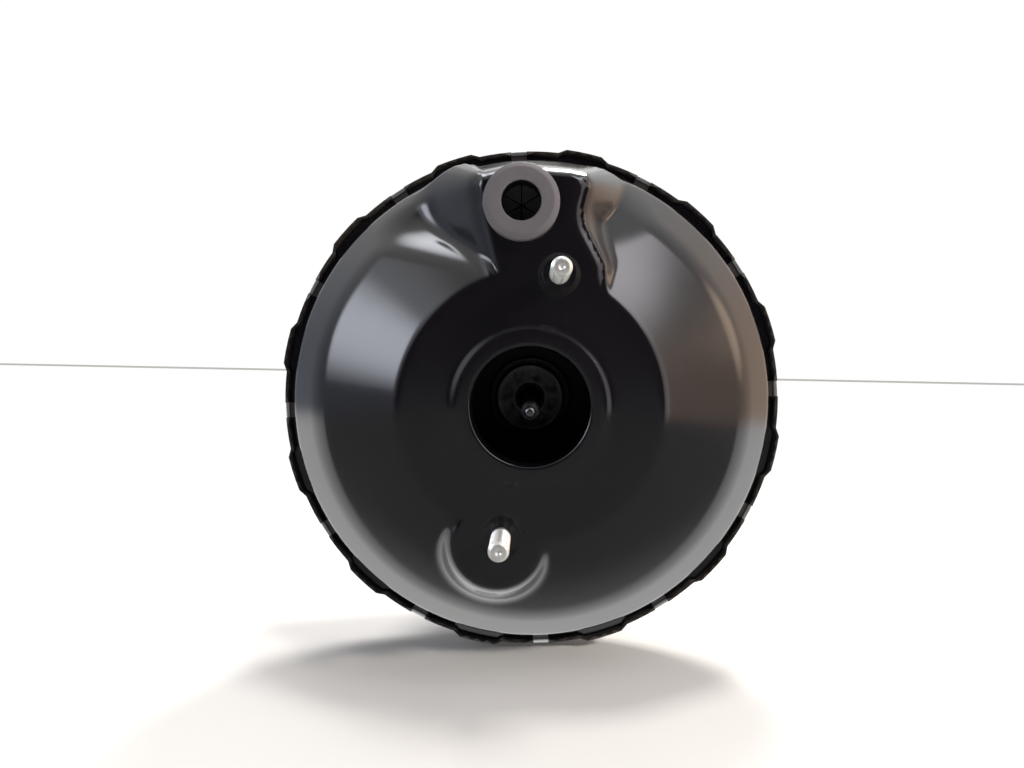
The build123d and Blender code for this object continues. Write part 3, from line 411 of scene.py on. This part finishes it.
def shellHeight(x, y):
    s = frontShell
    radius = np.hypot(x, y)
    height = terracedCone(x, y, radius)
    lean = [math.tan(math.radians(angle)) for angle in s["padDrafts"]]
    fromPad, aside = outlineDistance(x, y, softProfile(padCorners, 1.0))
    onLeft = easeStep(-aside, 0.3, 0.9)
    draft = lean[1] + (lean[0] - lean[1]) * onLeft
    draft = draft + (lean[2] - draft) * easeStep(aside, 0.2, 0.95)
    pad = s["face"] - fromPad / draft
    fromLobe = np.hypot(x - s["lobeCentre"][0], y - s["lobeCentre"][1]) - s["lobeRadius"]
    lobe = s["face"] - fromLobe / math.tan(math.radians(s["lobeDraft"]))
    atEnd = easeStep(y, *s["padEnd"]) * (1 - easeStep(np.abs(aside), 0.4, 0.9))
    rounder = np.maximum(atEnd, 0.5 * onLeft)    # the pad's outer end and left wall are rounder than the rest
    crest = s["padBlend"] + (s["padEndBlend"] - s["padBlend"]) * rounder
    foot = s["padFootBlend"] + (s["padEndBlend"] - s["padFootBlend"]) * rounder
    reach = s["blendReach"]
    edge = s["discBlend"] + (crest - s["discBlend"]) * easeStep(pad - height, -reach, reach)
    edge = edge + (s["lobeBlend"] - edge) * easeStep(lobe - height, -reach, reach)
    height = softMax(height, pad, foot)
    height = softMax(height, lobe, s["lobeFootBlend"])
    height = softMin(height, np.full_like(x, s["face"]), edge)
    height = height + s["bossRise"] * (1 - easeStep(radius, s["bossTop"], s["bossFoot"]))
    for turn in (0, 180):    # a shallow coin pressed round each stud
        px, py = clockPoint(s["studCircle"], s["studClock"] + turn)
        outside = easeStep(np.hypot(x - px, y - py), s["coinRadius"] - s["coinEdge"], s["coinRadius"] + s["coinEdge"])
        height = height - s["coinDepth"] * (1 - outside)
    return height


def makeFrontShell():
    s = frontShell
    keys = s["keyFirst"] + np.arange(12) * 30
    halfKey = math.degrees(s["keyHalfWidth"] / s["flangeRadius"])
    keySides = [keys - halfKey, keys - halfKey + 0.02, keys + halfKey - 0.02, keys + halfKey]
    steps = [np.arange(*span) for span in s["clockSteps"]]
    angles = np.unique(np.round(np.concatenate(steps + keySides) % 360, 4))
    turn = np.radians(angles)

    def level(value):
        return np.full_like(turn, value)

    boss = s["face"] + s["bossRise"]
    rows = [(level(s["pilotRadius"]), level(height)) for height in (
        boss - s["collarDepth"], boss - s["collarDepth"] * 0.6, boss - s["mouthRound"] - 1.5)]
    for degrees in range(0, 108, 18):    # the rolled mouth of the pilot hole
        bend = math.radians(degrees)
        rows.append((level(s["pilotRadius"] + s["mouthRound"] * (1 - math.cos(bend))),
                     level(boss - s["mouthRound"] * (1 - math.sin(bend)))))
    for radius in np.concatenate([np.arange(*span) for span in s["radiusSteps"]]):
        rows.append((level(radius), shellHeight(radius * np.sin(turn), radius * np.cos(turn))))
    lastRadius, lastHeight = rows[-1]
    for t in np.arange(1, 8) / 7:    # round from the shoulder into the drum
        near, middle, far = (1 - t) ** 2, 2 * t * (1 - t), t * t
        rows.append((near * lastRadius + (middle + far) * s["drumRadius"],
                     near * lastHeight + middle * (s["shoulderFoot"] + 0.6) + far * s["drumStart"]))
    for out, up in ((0, 1.2), (0.35, 0.3), (1.2, 0)):    # round from the drum into the flange
        rows.append((level(s["drumRadius"] + out), level(s["flangeHeight"] + up)))
    offset = (angles[:, None] - keys[None, :] + 180) % 360 - 180
    onKey = (np.abs(offset) < halfKey - 0.01).any(1)
    rows.append((np.where(onKey, s["keyReach"], s["flangeRadius"]), level(s["flangeHeight"])))
    points = np.stack([np.stack([r * np.sin(turn), r * np.cos(turn), h], -1) for r, h in rows])
    shell = addObject("front_shell_skin", points, ringFaces(len(rows), len(turn)))

    work = bmesh.new()    # the port's hole is cut and its edge made round
    work.from_mesh(shell.data)
    px, py = s["portCentre"]
    inHole = [f for f in work.faces if math.hypot(f.calc_center_median().x * 1000 - px,
                                                 f.calc_center_median().z * 1000 - py) < s["portHole"]]
    bmesh.ops.delete(work, geom=inHole, context="FACES")
    for vert in work.verts:
        away = Vector((vert.co.x * 1000 - px, vert.co.z * 1000 - py))
        if vert.is_boundary and away.length < s["portHole"] + 2:
            away *= s["portHole"] / away.length
            vert.co.x, vert.co.z = (px + away.x) / 1000, (py + away.y) / 1000
    work.to_mesh(shell.data)
    work.free()
    wall = shell.modifiers.new("wall", "SOLIDIFY")
    wall.thickness = s["wall"] / 1000
    wall.offset = -1
    bakeModifiers(shell)
    finishPiece(shell, frontEnamel, "front_shell", 50)


makeFrontShell()
print("front shell made")

grommet = {
    "centre": frontShell["portCentre"], "bore": 7.75, "flange": 15.0, "foot": 109.05, "top": 116.5, "chamfer": 2.0,
    "groove": 10.95, "bulb": 12.2, "bulbBack": 100.4, "shellInside": 107.4,
    "membraneFront": 105.5, "membraneWall": 1.6, "flaps": 6, "slit": 2.4, "tipDrop": 0.9,    # slit in degrees
}


def makeGrommet():
    g = grommet
    profile = softProfile([
        (g["bore"], g["bulbBack"], 0.3), (g["groove"] - 0.8, g["bulbBack"], 0.5),
        (g["bulb"], g["shellInside"] - 2, 0.8), (g["bulb"], g["shellInside"], 0.3),
        (g["groove"], g["shellInside"], 0), (g["groove"], g["foot"], 0),
        (g["flange"], g["foot"], 0.4), (g["flange"], g["top"] - g["chamfer"], 0.7),
        (g["flange"] - g["chamfer"], g["top"] - 0.15, 0.5), (g["flange"] - g["chamfer"] - 0.5, g["top"], 0.3),
        (g["bore"], g["top"], 0.9),
    ], 0.25)
    body = lathe("port_grommet", np.vstack([profile, profile[:1]]), 128)
    work = bmesh.new()
    work.from_mesh(body.data)
    bmesh.ops.remove_doubles(work, verts=work.verts, dist=1e-7)
    front, back = g["membraneFront"], g["membraneFront"] - g["membraneWall"]
    share = 360 / g["flaps"]
    for flap in range(g["flaps"]):    # slits between them, pushed in a little at the middle
        arc = np.radians(np.linspace(flap * share + g["slit"] / 2, (flap + 1) * share - g["slit"] / 2, 9))
        rim = [(math.sin(a) * (g["bore"] + 0.5), math.cos(a) * (g["bore"] + 0.5)) for a in arc]
        tip = clockPoint(0.5, (flap + 0.5) * share)
        loops = [work.verts.new(toFrame(point).tolist()) for level in (front, back)
                 for point in [tip + (level - g["tipDrop"],)] + [(x, y, level) for x, y in rim]]
        count = len(rim) + 1
        top, bottom = loops[:count], loops[count:]
        for k in range(1, count - 1):
            work.faces.new((top[0], top[k], top[k + 1]))
            work.faces.new((bottom[0], bottom[k + 1], bottom[k]))
        for k in range(count):
            after = (k + 1) % count
            work.faces.new((top[k], bottom[k], bottom[after], top[after]))
    work.normal_update()
    bmesh.ops.recalc_face_normals(work, faces=work.faces)
    for vert in work.verts:
        vert.co.x += g["centre"][0] / 1000
        vert.co.z += g["centre"][1] / 1000
    work.to_mesh(body.data)
    work.free()
    finishPiece(body, portRubber, "vacuum_grommet", 40)
    body.data.materials.append(boreShadeRubber)    # the bore and its flaps get a near-black copy of the port rubber, painted shade inside the port
    for face in body.data.polygons:
        away = math.hypot(face.center.x * 1000 - g["centre"][0], face.center.z * 1000 - g["centre"][1])
        if away < g["bore"] + 0.9 and -face.center.y * 1000 < g["top"] - 0.9:
            face.material_index = 1


makeGrommet()
print("port grommet made")

# M8 thread, its depth and the flats between turns as rolled
thread = {"radius": 4.0, "pitch": 1.25, "depth": 0.7, "chamfer": 0.9, "dimple": 1.3, "columns": 40, "rowsPerTurn": 8,
          "flat": 0.12}
studs = {"shank": 8.6, "frontBack": 102.6, "frontTip": 135.0, "wallBack": -6.4, "wallTip": 26.0, "wallSpacing": 72.0}


def threadedRod(name, back, front, shank, dimple=True):    # rows wind with the thread, both ends closed
    t = thread
    angles = np.linspace(0, 2 * math.pi, t["columns"], endpoint=False)
    heights = np.arange(back, front - t["chamfer"] * 0.2, t["pitch"] / t["rowsPerTurn"])
    phase = ((heights[:, None] / t["pitch"]) - angles[None, :] / (2 * math.pi)) % 1
    crest = np.clip(np.abs(phase - 0.5) * 2, t["flat"], 1 - t["flat"])
    radius = t["radius"] - t["depth"] * (1 - t["flat"] - crest) / (1 - 2 * t["flat"])
    nearTip = np.clip(heights[:, None] - (front - t["chamfer"] * 1.6), 0, None)
    radius = np.minimum(radius, t["radius"] - nearTip * 0.75)
    radius = np.where(heights[:, None] < back + shank, t["radius"], radius)
    flat = t["radius"] - t["chamfer"] - 0.4
    tipRows = [(flat, front), (0.05, front)]
    if dimple:
        tipRows = [(flat, front), (t["dimple"], front), (t["dimple"] * 0.5, front - 0.45), (0.05, front - 0.9)]
    rows = [(0.05, back), (t["radius"] - 0.1, back), *zip(radius, heights), *tipRows]
    points = [np.stack([r * np.sin(angles), r * np.cos(angles), np.full(len(angles), h)], -1) for r, h in rows]
    rod = addObject(name, np.array(points), ringFaces(len(rows), len(angles)))
    return cleanMesh(rod, fill=True)


frontPlaces = [clockPoint(frontShell["studCircle"], frontShell["studClock"] + turn) + (0.0,) for turn in (0, 180)]
frontStuds = repeatPart(addObject("front_studs_threaded", np.array(frontPlaces), []),
                        threadedRod("stud_pattern", studs["frontBack"], studs["frontTip"], studs["shank"]), zincPlate)
finishPiece(frontStuds, zincPlate, "master_cylinder_studs", 30)


def mirroredStud():
    rod = threadedRod("wall_stud_pattern", studs["wallBack"], studs["wallTip"], studs["shank"], False)
    for vert in rod.data.vertices:
        vert.co.y = -vert.co.y
    rod.data.flip_normals()
    return rod


side = studs["wallSpacing"] / 2
wallPlaces = [(x, y, 0.0) for x in (-side, side) for y in (-side, side)]
wallStuds = repeatPart(addObject("wall_studs_threaded", np.array(wallPlaces), []), mirroredStud(), zincPlate)
finishPiece(wallStuds, zincPlate, "firewall_studs", 30)
print("studs made")

# moulded in one, made here in two pieces that nest in a fold, because each stretches between other bodies
dustBoot = {
    "neckEnd": -24, "cuffFront": -15, "cuffInner": 25.55, "wall": 1.6,
    "crest": 28.5, "root": 24.5, "crests": 5, "bellBack": -62, "foldRound": 1.1,
    "lap": [(19.4, -68.9, 0.2), (18.9, -68.7, 0.1)],    # where the bellows end, under the cone
    "lapOuter": [(23.0, -66.6, 0.1), (18.7, -69.1, 0.6)], "lapInner": [(17.3, -69.1, 0.4), (22.4, -66.1, 0.1)],
    "cone": [(20.6, -72.0), (14.0, -75.3), (15.0, -78.7)], "coneBack": -82,
    "noseRadius": 8, "noseBack": -91, "noseInner": 4.05,
    "bellowsEnd": 0.078, "noseStretch": (0.066, 0.082),    # along Y, where each is held by its second body
}


def makeDustBoot():
    b = dustBoot
    wall, bend, nose, end = b["wall"], b["foldRound"], b["noseRadius"], b["noseBack"]
    pitch = (b["neckEnd"] - b["bellBack"]) / b["crests"]
    bell = []
    for count in range(b["crests"]):
        bell.append((b["root"], b["neckEnd"] - count * pitch))
        bell.append((b["crest"], b["neckEnd"] - (count + 0.5) * pitch))
    bell += [(b["root"], b["bellBack"]), (b["root"] + 1.6, b["bellBack"] - 2.6)]
    outer = [(b["cuffInner"], b["cuffFront"], 0.4), (b["cuffInner"] + 1.2 * wall, b["cuffFront"], 0.6),
             (b["cuffInner"] + 2 * wall, b["cuffFront"] - 2.5, 0.8), (b["cuffInner"] + 2 * wall, b["neckEnd"], 0.6)]
    outer += [(r, h, bend) for r, h in bell[1:]] + b["lap"][:1]
    inner = b["lap"][1:] + [(r - wall, h, bend) for r, h in bell[:0:-1]]
    inner += [(b["root"] - wall, b["neckEnd"] - 0.05, 0), (b["cuffInner"], b["neckEnd"] - 0.05, 0)]
    bellows = turnedPiece("dust_boot_bellows", outer + inner)
    finishPiece(bellows, bootRubber, "dust_boot", 60, body="blend")
    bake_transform(bellows)
    outside = b["lapOuter"] + [(r, h, 1.0) for r, h in b["cone"] + [(nose + 0.4, b["coneBack"])]]
    outside += [(nose, end + 2.4, 0.5), (nose + 0.7, end + 1.2, 0.5), (nose - 0.2, end, 0.4)]
    outside += [(b["noseInner"], end, 0.3)]
    inside = [(b["noseInner"], b["coneBack"] + 0.4, 0.3)] + [(r - wall, h, 0.9) for r, h in b["cone"][::-1]]
    tip = turnedPiece("dust_boot_nose", outside + inside + b["lapInner"])
    finishPiece(tip, bootRubber, "dust_boot", 60, body="blend")
    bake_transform(tip)


makeDustBoot()
print("dust boot made")

diaphragmOutline = [    # radius, height, round, from the inner bead over the web and the roll to the outer bead
    (19.65, 10.1, 0.4), (24.2, 10.1, 0.4), (24.2, 14, 0.6),
    (48.6, 14, 2.5), (60.6, 22, 2.5), (98, 22, 2.6),
    (101, 41.05, 1.2), (113.7, 41.05, 0.4), (113.7, 44.25, 0.6),
    (108.9, 44.25, 0.6), (108.9, 42.85, 0.5), (99.2, 42.85, 1),
    (96.2, 23.8, 2.2), (60.1, 23.8, 2.5), (48.1, 15.8, 2.5),
    (22.2, 15.8, 0.5), (22.2, 12.9, 0.4), (19.65, 12.9, 0.4),
]
diaphragm = turnedPiece("diaphragm_moulding", diaphragmOutline, steps=144)
finishPiece(diaphragm, bootRubber, "diaphragm", 50, body="blend")
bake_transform(diaphragm)
print("diaphragm made")

# sheared edges of the rear shell's lances, bare steel, with a near-black bar inside each: painted shade in the slit
lance = {"first": 27.4, "count": 12, "long": 7.2, "inner": 113.9, "outer": 115.4, "top": 47.93, "tall": 0.9,
         "slit": 0.75, "gap": 0.05, "longer": 1.2}


def rimBar(name, inner, outer, length, low, high):    # a thin bar along the rim, at the top of the clock
    half = math.degrees(length / 2 / outer)
    section = ((inner, low), (outer, low), (outer, high - 0.05), (outer - 0.1, high), (inner + 0.1, high),
               (inner, high - 0.05))
    rows = np.array([[clockPoint(r, angle) + (h,) for r, h in section] for angle in np.linspace(-half, half, 7)])
    return cleanMesh(addObject(name, rows, ringFaces(len(rows), len(section))), fill=True)


def turnsOfRim(tree, entry):    # the holder's own point isn't used: a point for each turn, all on the axis
    spots = addNode(tree, "GeometryNodeMeshLine", {"Count": entry.outputs["Count"], "Offset": (0, 0, 0)})
    step = addNode(tree, "ShaderNodeMath", {0: 2 * math.pi, 1: entry.outputs["Count"]}, operation="DIVIDE")
    index = addNode(tree, "GeometryNodeInputIndex")
    turn = addNode(tree, "ShaderNodeMath", {0: index.outputs[0], 1: step.outputs[0], 2: entry.outputs["First Angle"]},
                   operation="MULTIPLY_ADD")
    turned = addNode(tree, "ShaderNodeCombineXYZ", {"Y": turn.outputs[0]})
    return {"Points": spots.outputs["Mesh"], "Rotation": turned.outputs[0]}


def aroundRim(name, part, material):
    inputs = (("Count", "NodeSocketInt", lance["count"]),
              ("First Angle", "NodeSocketFloat", math.radians(lance["first"])))
    ring = repeatPart(addObject(name, np.zeros((1, 3)), []), part, material, inputs, turnsOfRim)
    finishPiece(ring, material, "rear_shell", 30, replaced=False)


low = lance["top"] - lance["tall"]
aroundRim("lance_edges", rimBar("lance_pattern", lance["inner"], lance["outer"], lance["long"], low, lance["top"]),
          shearedSteel)
# near-black bars stand in the slits: painted shade
aroundRim("lance_slits", rimBar("slit_pattern", lance["inner"] - lance["slit"], lance["inner"] - lance["gap"],
                                lance["long"] + lance["longer"], low, lance["top"] - 0.1), blackNylon)
print("rim edges made")

# the other pieces keep their CAD shape, in a copy that is shaded smooth
ownFinish = {
    "diaphragm_plate": blackPhosphate, "output_push_rod": blackPhosphate, "front_reinforcement": rearEnamel,
    "output_rod_adjuster": blackPhosphate, "output_rod_retainer": filledNylon,
}
crossing = {    # springs between two bodies, and where along Y each body holds them
    "return_spring": ("housing", "power_piston", -0.1055, -0.0172),
    "input_rod_spring": ("power_piston", "plunger", 0.0353, 0.0449),
}
for node in frame["nodes"]:
    if frame["nodes"][node].hide_render:
        continue
    finish = ownFinish.get(node, finishOfSlot[slotOfNode[node]])
    look = dressNode(node, finish, body="blend" if node in crossing else None)
    if node in crossing:
        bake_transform(look)
    if node == "output_rod_adjuster":    # its nose gets the lighter spring-steel finish, a painted highlight at the tip
        look.data.materials.append(springSteel)
        tip = min(vert.co.y for vert in look.data.vertices)
        for face in look.data.polygons:
            face.material_index = int(face.center.y < tip + 0.0016)
print("other pieces dressed")

# a white table under the booster, a white wall behind, and between them a grey strip, painted shade in the seam
stage = {
    "floor": -0.1176, "seamFar": 7.2, "near": -3.0, "halfWide": 12, "lean": 1.12, "seamTall": 0.018,
    "wallHalfWide": 5.4, "wallTop": 6, "white": "#f6f6f5", "seam": "#b4b3b0", "glow": 1.1,
    "frontGlow": 0.35, "backGlow": 1.5, "shadeEdge": (-0.105, -0.07),    # the table as mirrors see it: dimmer in front, a painted shadow, and brighter behind, a painted light
    "farWhite": (0.15, 0.7),    # from here on the table is plain white
    "mirrorEnds": (1.3, 0.6),    # mirrors see past the table's ends
}


def stageMaterial(name, hexText, isTable=False):    # shown as bright as its colour, lit or not
    material, tree, shader, place = newMaterial(name)
    shader.inputs["Base Color"].default_value = linearColour(hexText)
    shader.inputs["Roughness"].default_value = 0.7
    path = addNode(tree, "ShaderNodeLightPath")
    eye, strength = path.outputs["Is Camera Ray"], stage["glow"]
    if isTable:    # lit by the lamps near the booster, so that it holds the shadow
        where = addNode(tree, "ShaderNodeSeparateXYZ", {"Vector": place}).outputs
        aside = addNode(tree, "ShaderNodeMath", {0: where["X"]}, operation="ABSOLUTE").outputs[0]
        # in mirrors the table glows dimmer in front, a painted shadow, and brighter behind, a painted light
        glow, near, far = [
            addNode(tree, "ShaderNodeMapRange", {"Value": value, "From Min": limits[0], "From Max": limits[1],
                                                "To Min": low, "To Max": high},
                    interpolation_type="SMOOTHSTEP").outputs["Result"]
            for value, limits, low, high in (
                (where["Y"], stage["shadeEdge"], stage["frontGlow"], stage["backGlow"]),
                (aside, stage["mirrorEnds"], 0.0, 1.0), (where["Y"], stage["farWhite"], 0.0, 1.0))]
        strength = addNode(tree, "ShaderNodeMix", {"Factor": eye, 2: glow, 3: stage["glow"]}).outputs[0]
        eye = addNode(tree, "ShaderNodeMath", {0: eye, 1: far}, operation="MULTIPLY").outputs[0]
    shown = addNode(tree, "ShaderNodeMath", {0: eye, 1: path.outputs["Is Glossy Ray"]}, operation="MAXIMUM")
    shine = addNode(tree, "ShaderNodeEmission", {"Color": linearColour(hexText), "Strength": strength}).outputs[0]
    if isTable:
        clear = addNode(tree, "ShaderNodeBsdfTransparent").outputs[0]
        ends = addNode(tree, "ShaderNodeMath", {0: near, 1: eye}, operation="MAXIMUM").outputs[0]
        shine = addNode(tree, "ShaderNodeMixShader", {0: ends, 1: clear, 2: shine}).outputs[0]
    mix = addNode(tree, "ShaderNodeMixShader", {0: shown.outputs[0], 1: shader.outputs[0], 2: shine})
    tree.links.new(mix.outputs[0], tree.nodes["Material Output"].inputs["Surface"])
    return material


def makeStage():
    wide, far, low = stage["halfWide"], stage["seamFar"], stage["floor"]
    wallWide, behind, top = stage["wallHalfWide"], far + 0.02, stage["wallTop"]
    seamTop = low + stage["seamTall"]
    sheets = {
        "table_top": ([(-wide, stage["near"], low), (wide, stage["near"], low), (wide, far, low), (-wide, far, low)],
                      stageMaterial("white_table", stage["white"], True)),
        "back_wall": ([(-wallWide, behind, low - 0.3), (wallWide, behind, low - 0.3), (wallWide, behind, top),
                       (-wallWide, behind, top)], stageMaterial("white_wall", stage["white"])),
        # a glowing grey strip: painted shade where the table meets the wall
        "seam_line": ([(-wide, far, low), (wide, far, low), (wide, far, seamTop), (-wide, far, seamTop)],
                      stageMaterial("seam_shade_grey", stage["seam"])),
    }
    for name, (corners, material) in sheets.items():
        sheet = addObject(name, np.zeros((0, 3)), [])
        sheet.data.from_pydata(corners, [], [(0, 1, 2, 3)])
        sheet.data.materials.append(material)
        sheet.rotation_euler = (0, math.radians(stage["lean"]), 0)


makeStage()


def toward(clock, polar):    # a direction, by the clock and by the angle from straight in front, in degrees
    side = clockPoint(math.sin(math.radians(polar)), clock)
    return Vector((side[0], -math.cos(math.radians(polar)), side[1]))


lamps = {    # clock, angle from the front, distance, width, height, power, colour, seen in mirrors
    "back_top_window": (12, 128, 1.4, 0.36, 0.34, 16.0, "#fffaf4", True),
    "ceiling_lamp": (9, 95, 1.5, 0.24, 0.24, 9.5, "#fffaf2", False),
    "front_lamp": (56, 57, 1.6, 0.22, 0.22, 15.0, "#fff6ea", False),
}
for name, (clock, polar, distance, wide, high, power, tint, mirrored) in lamps.items():
    direction = toward(clock, polar)
    light = bpy.data.lights.new(name, "AREA")
    light.shape = "RECTANGLE"
    light.size, light.size_y = wide, high
    light.energy = power
    light.color = linearColour(tint)[:3]
    lamp = bpy.data.objects.new(name, light)
    lamp.location = Vector((0, -0.08, 0)) + direction * distance
    lamp.rotation_euler = direction.to_track_quat("Z", "Y").to_euler()
    lamp.visible_glossy = mirrored
    scene.collection.objects.link(lamp)

room = {    # tint and brightness of the room by direction, seen from the object
    "left": ("#cdd4e4", 0.6),
    "right": ("#fadcc6", 1.08),
    "ceiling": ("#ffffff", 0.95),
    "behindCamera": ("#cfc2d8", 0.09),
    "leftToRight": (-0.8, 0.8), "sidesToCeiling": (0.1, 0.85), "cameraToAhead": (-0.72, -0.2),
    "onMatt": 0.36,    # share of it that lights matt surfaces
}
glows = {    # soft bright places: clock, angle from the front, inner and outer radius in degrees, tint, brightness
    "window": (290, 78, 2, 18, "#eef2ff", 6.2),
    "window_haze": (300, 68, 0, 30, "#eef2ff", 1.4),
    "ceiling_patch": (352, 115, 4, 17, "#f6f8ff", 5.2),
    "warm_wall": (72, 96, 4, 17, "#ffe2c6", 2.6),
}
doorway = {    # a bright strip with a plumb edge, its sides as slopes of X over Y and its softness at each
    "tint": "#f2eef4", "edge": (0.235, 0.012, -0.012), "far": (0.7, -0.12, 0.0), "right": (0.2, 0.3),
    "rise": (0.3, 0.85), "bright": (1.3, 7.0),    # brighter from low to high
}
world = bpy.data.worlds.new("room")
scene.world = world
world.use_nodes = True
roomTree = world.node_tree
lookedAt = addNode(roomTree, "ShaderNodeTexCoord").outputs["Generated"]
axes = addNode(roomTree, "ShaderNodeSeparateXYZ", {"Vector": lookedAt}).outputs


def roomColour(side):
    tint, strength = room[side]
    return tuple(c * strength for c in linearColour(tint)[:3]) + (1.0,)


def roomBlend(axis, limits, first, second):    # from one side of the room to the other
    amount = addNode(roomTree, "ShaderNodeMapRange", {"Value": axes[axis], "From Min": room[limits][0],
                                                     "From Max": room[limits][1]}, interpolation_type="SMOOTHSTEP")
    return addNode(roomTree, "ShaderNodeMix", {"Factor": amount.outputs["Result"], 6: first, 7: second},
                   data_type="RGBA").outputs[2]


def addLight(colour, tintHex, amount):
    tint = addNode(roomTree, "ShaderNodeVectorMath", {0: linearColour(tintHex)[:3], "Scale": amount},
                   operation="SCALE")
    return addNode(roomTree, "ShaderNodeVectorMath", {0: colour, 1: tint.outputs[0]}, operation="ADD").outputs[0]


allRound = roomBlend("X", "leftToRight", roomColour("left"), roomColour("right"))
allRound = roomBlend("Z", "sidesToCeiling", allRound, roomColour("ceiling"))
allRound = roomBlend("Y", "cameraToAhead", roomColour("behindCamera"), allRound)
for clock, polar, inner, outer, tintHex, bright in glows.values():
    facing = addNode(roomTree, "ShaderNodeVectorMath", {0: lookedAt, 1: toward(clock, polar)}, operation="DOT_PRODUCT")
    amount = addNode(roomTree, "ShaderNodeMapRange", {
        "Value": facing.outputs["Value"], "From Min": math.cos(math.radians(outer)),
        "From Max": math.cos(math.radians(inner)), "To Max": bright}, interpolation_type="SMOOTHSTEP")
    allRound = addLight(allRound, tintHex, amount.outputs["Result"])

besideEdge, besideFar = [
    addNode(roomTree, "ShaderNodeMath", {0: axes["X"], 1: doorway[key][0], 2: axes["Y"]}, operation="MULTIPLY_ADD")
    for key in ("edge", "far")]
amount = 1.0
for value, (low, high), (dim, bright) in (
        (besideEdge.outputs[0], doorway["edge"][1:], (0.0, 1.0)),
        (besideFar.outputs[0], doorway["far"][1:], (0.0, 1.0)),
        (axes["X"], doorway["right"], (0.0, 1.0)),
        (axes["Z"], doorway["rise"], doorway["bright"])):
    side = addNode(roomTree, "ShaderNodeMapRange", {"Value": value, "From Min": low, "From Max": high, "To Min": dim,
                                                   "To Max": bright}, interpolation_type="SMOOTHSTEP")
    amount = addNode(roomTree, "ShaderNodeMath", {0: amount, 1: side.outputs["Result"]},
                     operation="MULTIPLY").outputs[0]
allRound = addLight(allRound, doorway["tint"], amount)

path = addNode(roomTree, "ShaderNodeLightPath").outputs
share = addNode(roomTree, "ShaderNodeMapRange", {"Value": path["Is Glossy Ray"], "To Min": room["onMatt"]})
strength = addNode(roomTree, "ShaderNodeMath", {0: share.outputs["Result"], 1: path["Is Camera Ray"]},
                   operation="MAXIMUM")
seen = addNode(roomTree, "ShaderNodeMix", {"Factor": path["Is Camera Ray"], 6: allRound, 7: (1, 1, 1, 1)},
               data_type="RGBA")    # the eye sees plain white behind it all
back = roomTree.nodes["Background"]
roomTree.links.new(strength.outputs[0], back.inputs["Strength"])
roomTree.links.new(seen.outputs[2], back.inputs["Color"])
print("stage and light set")
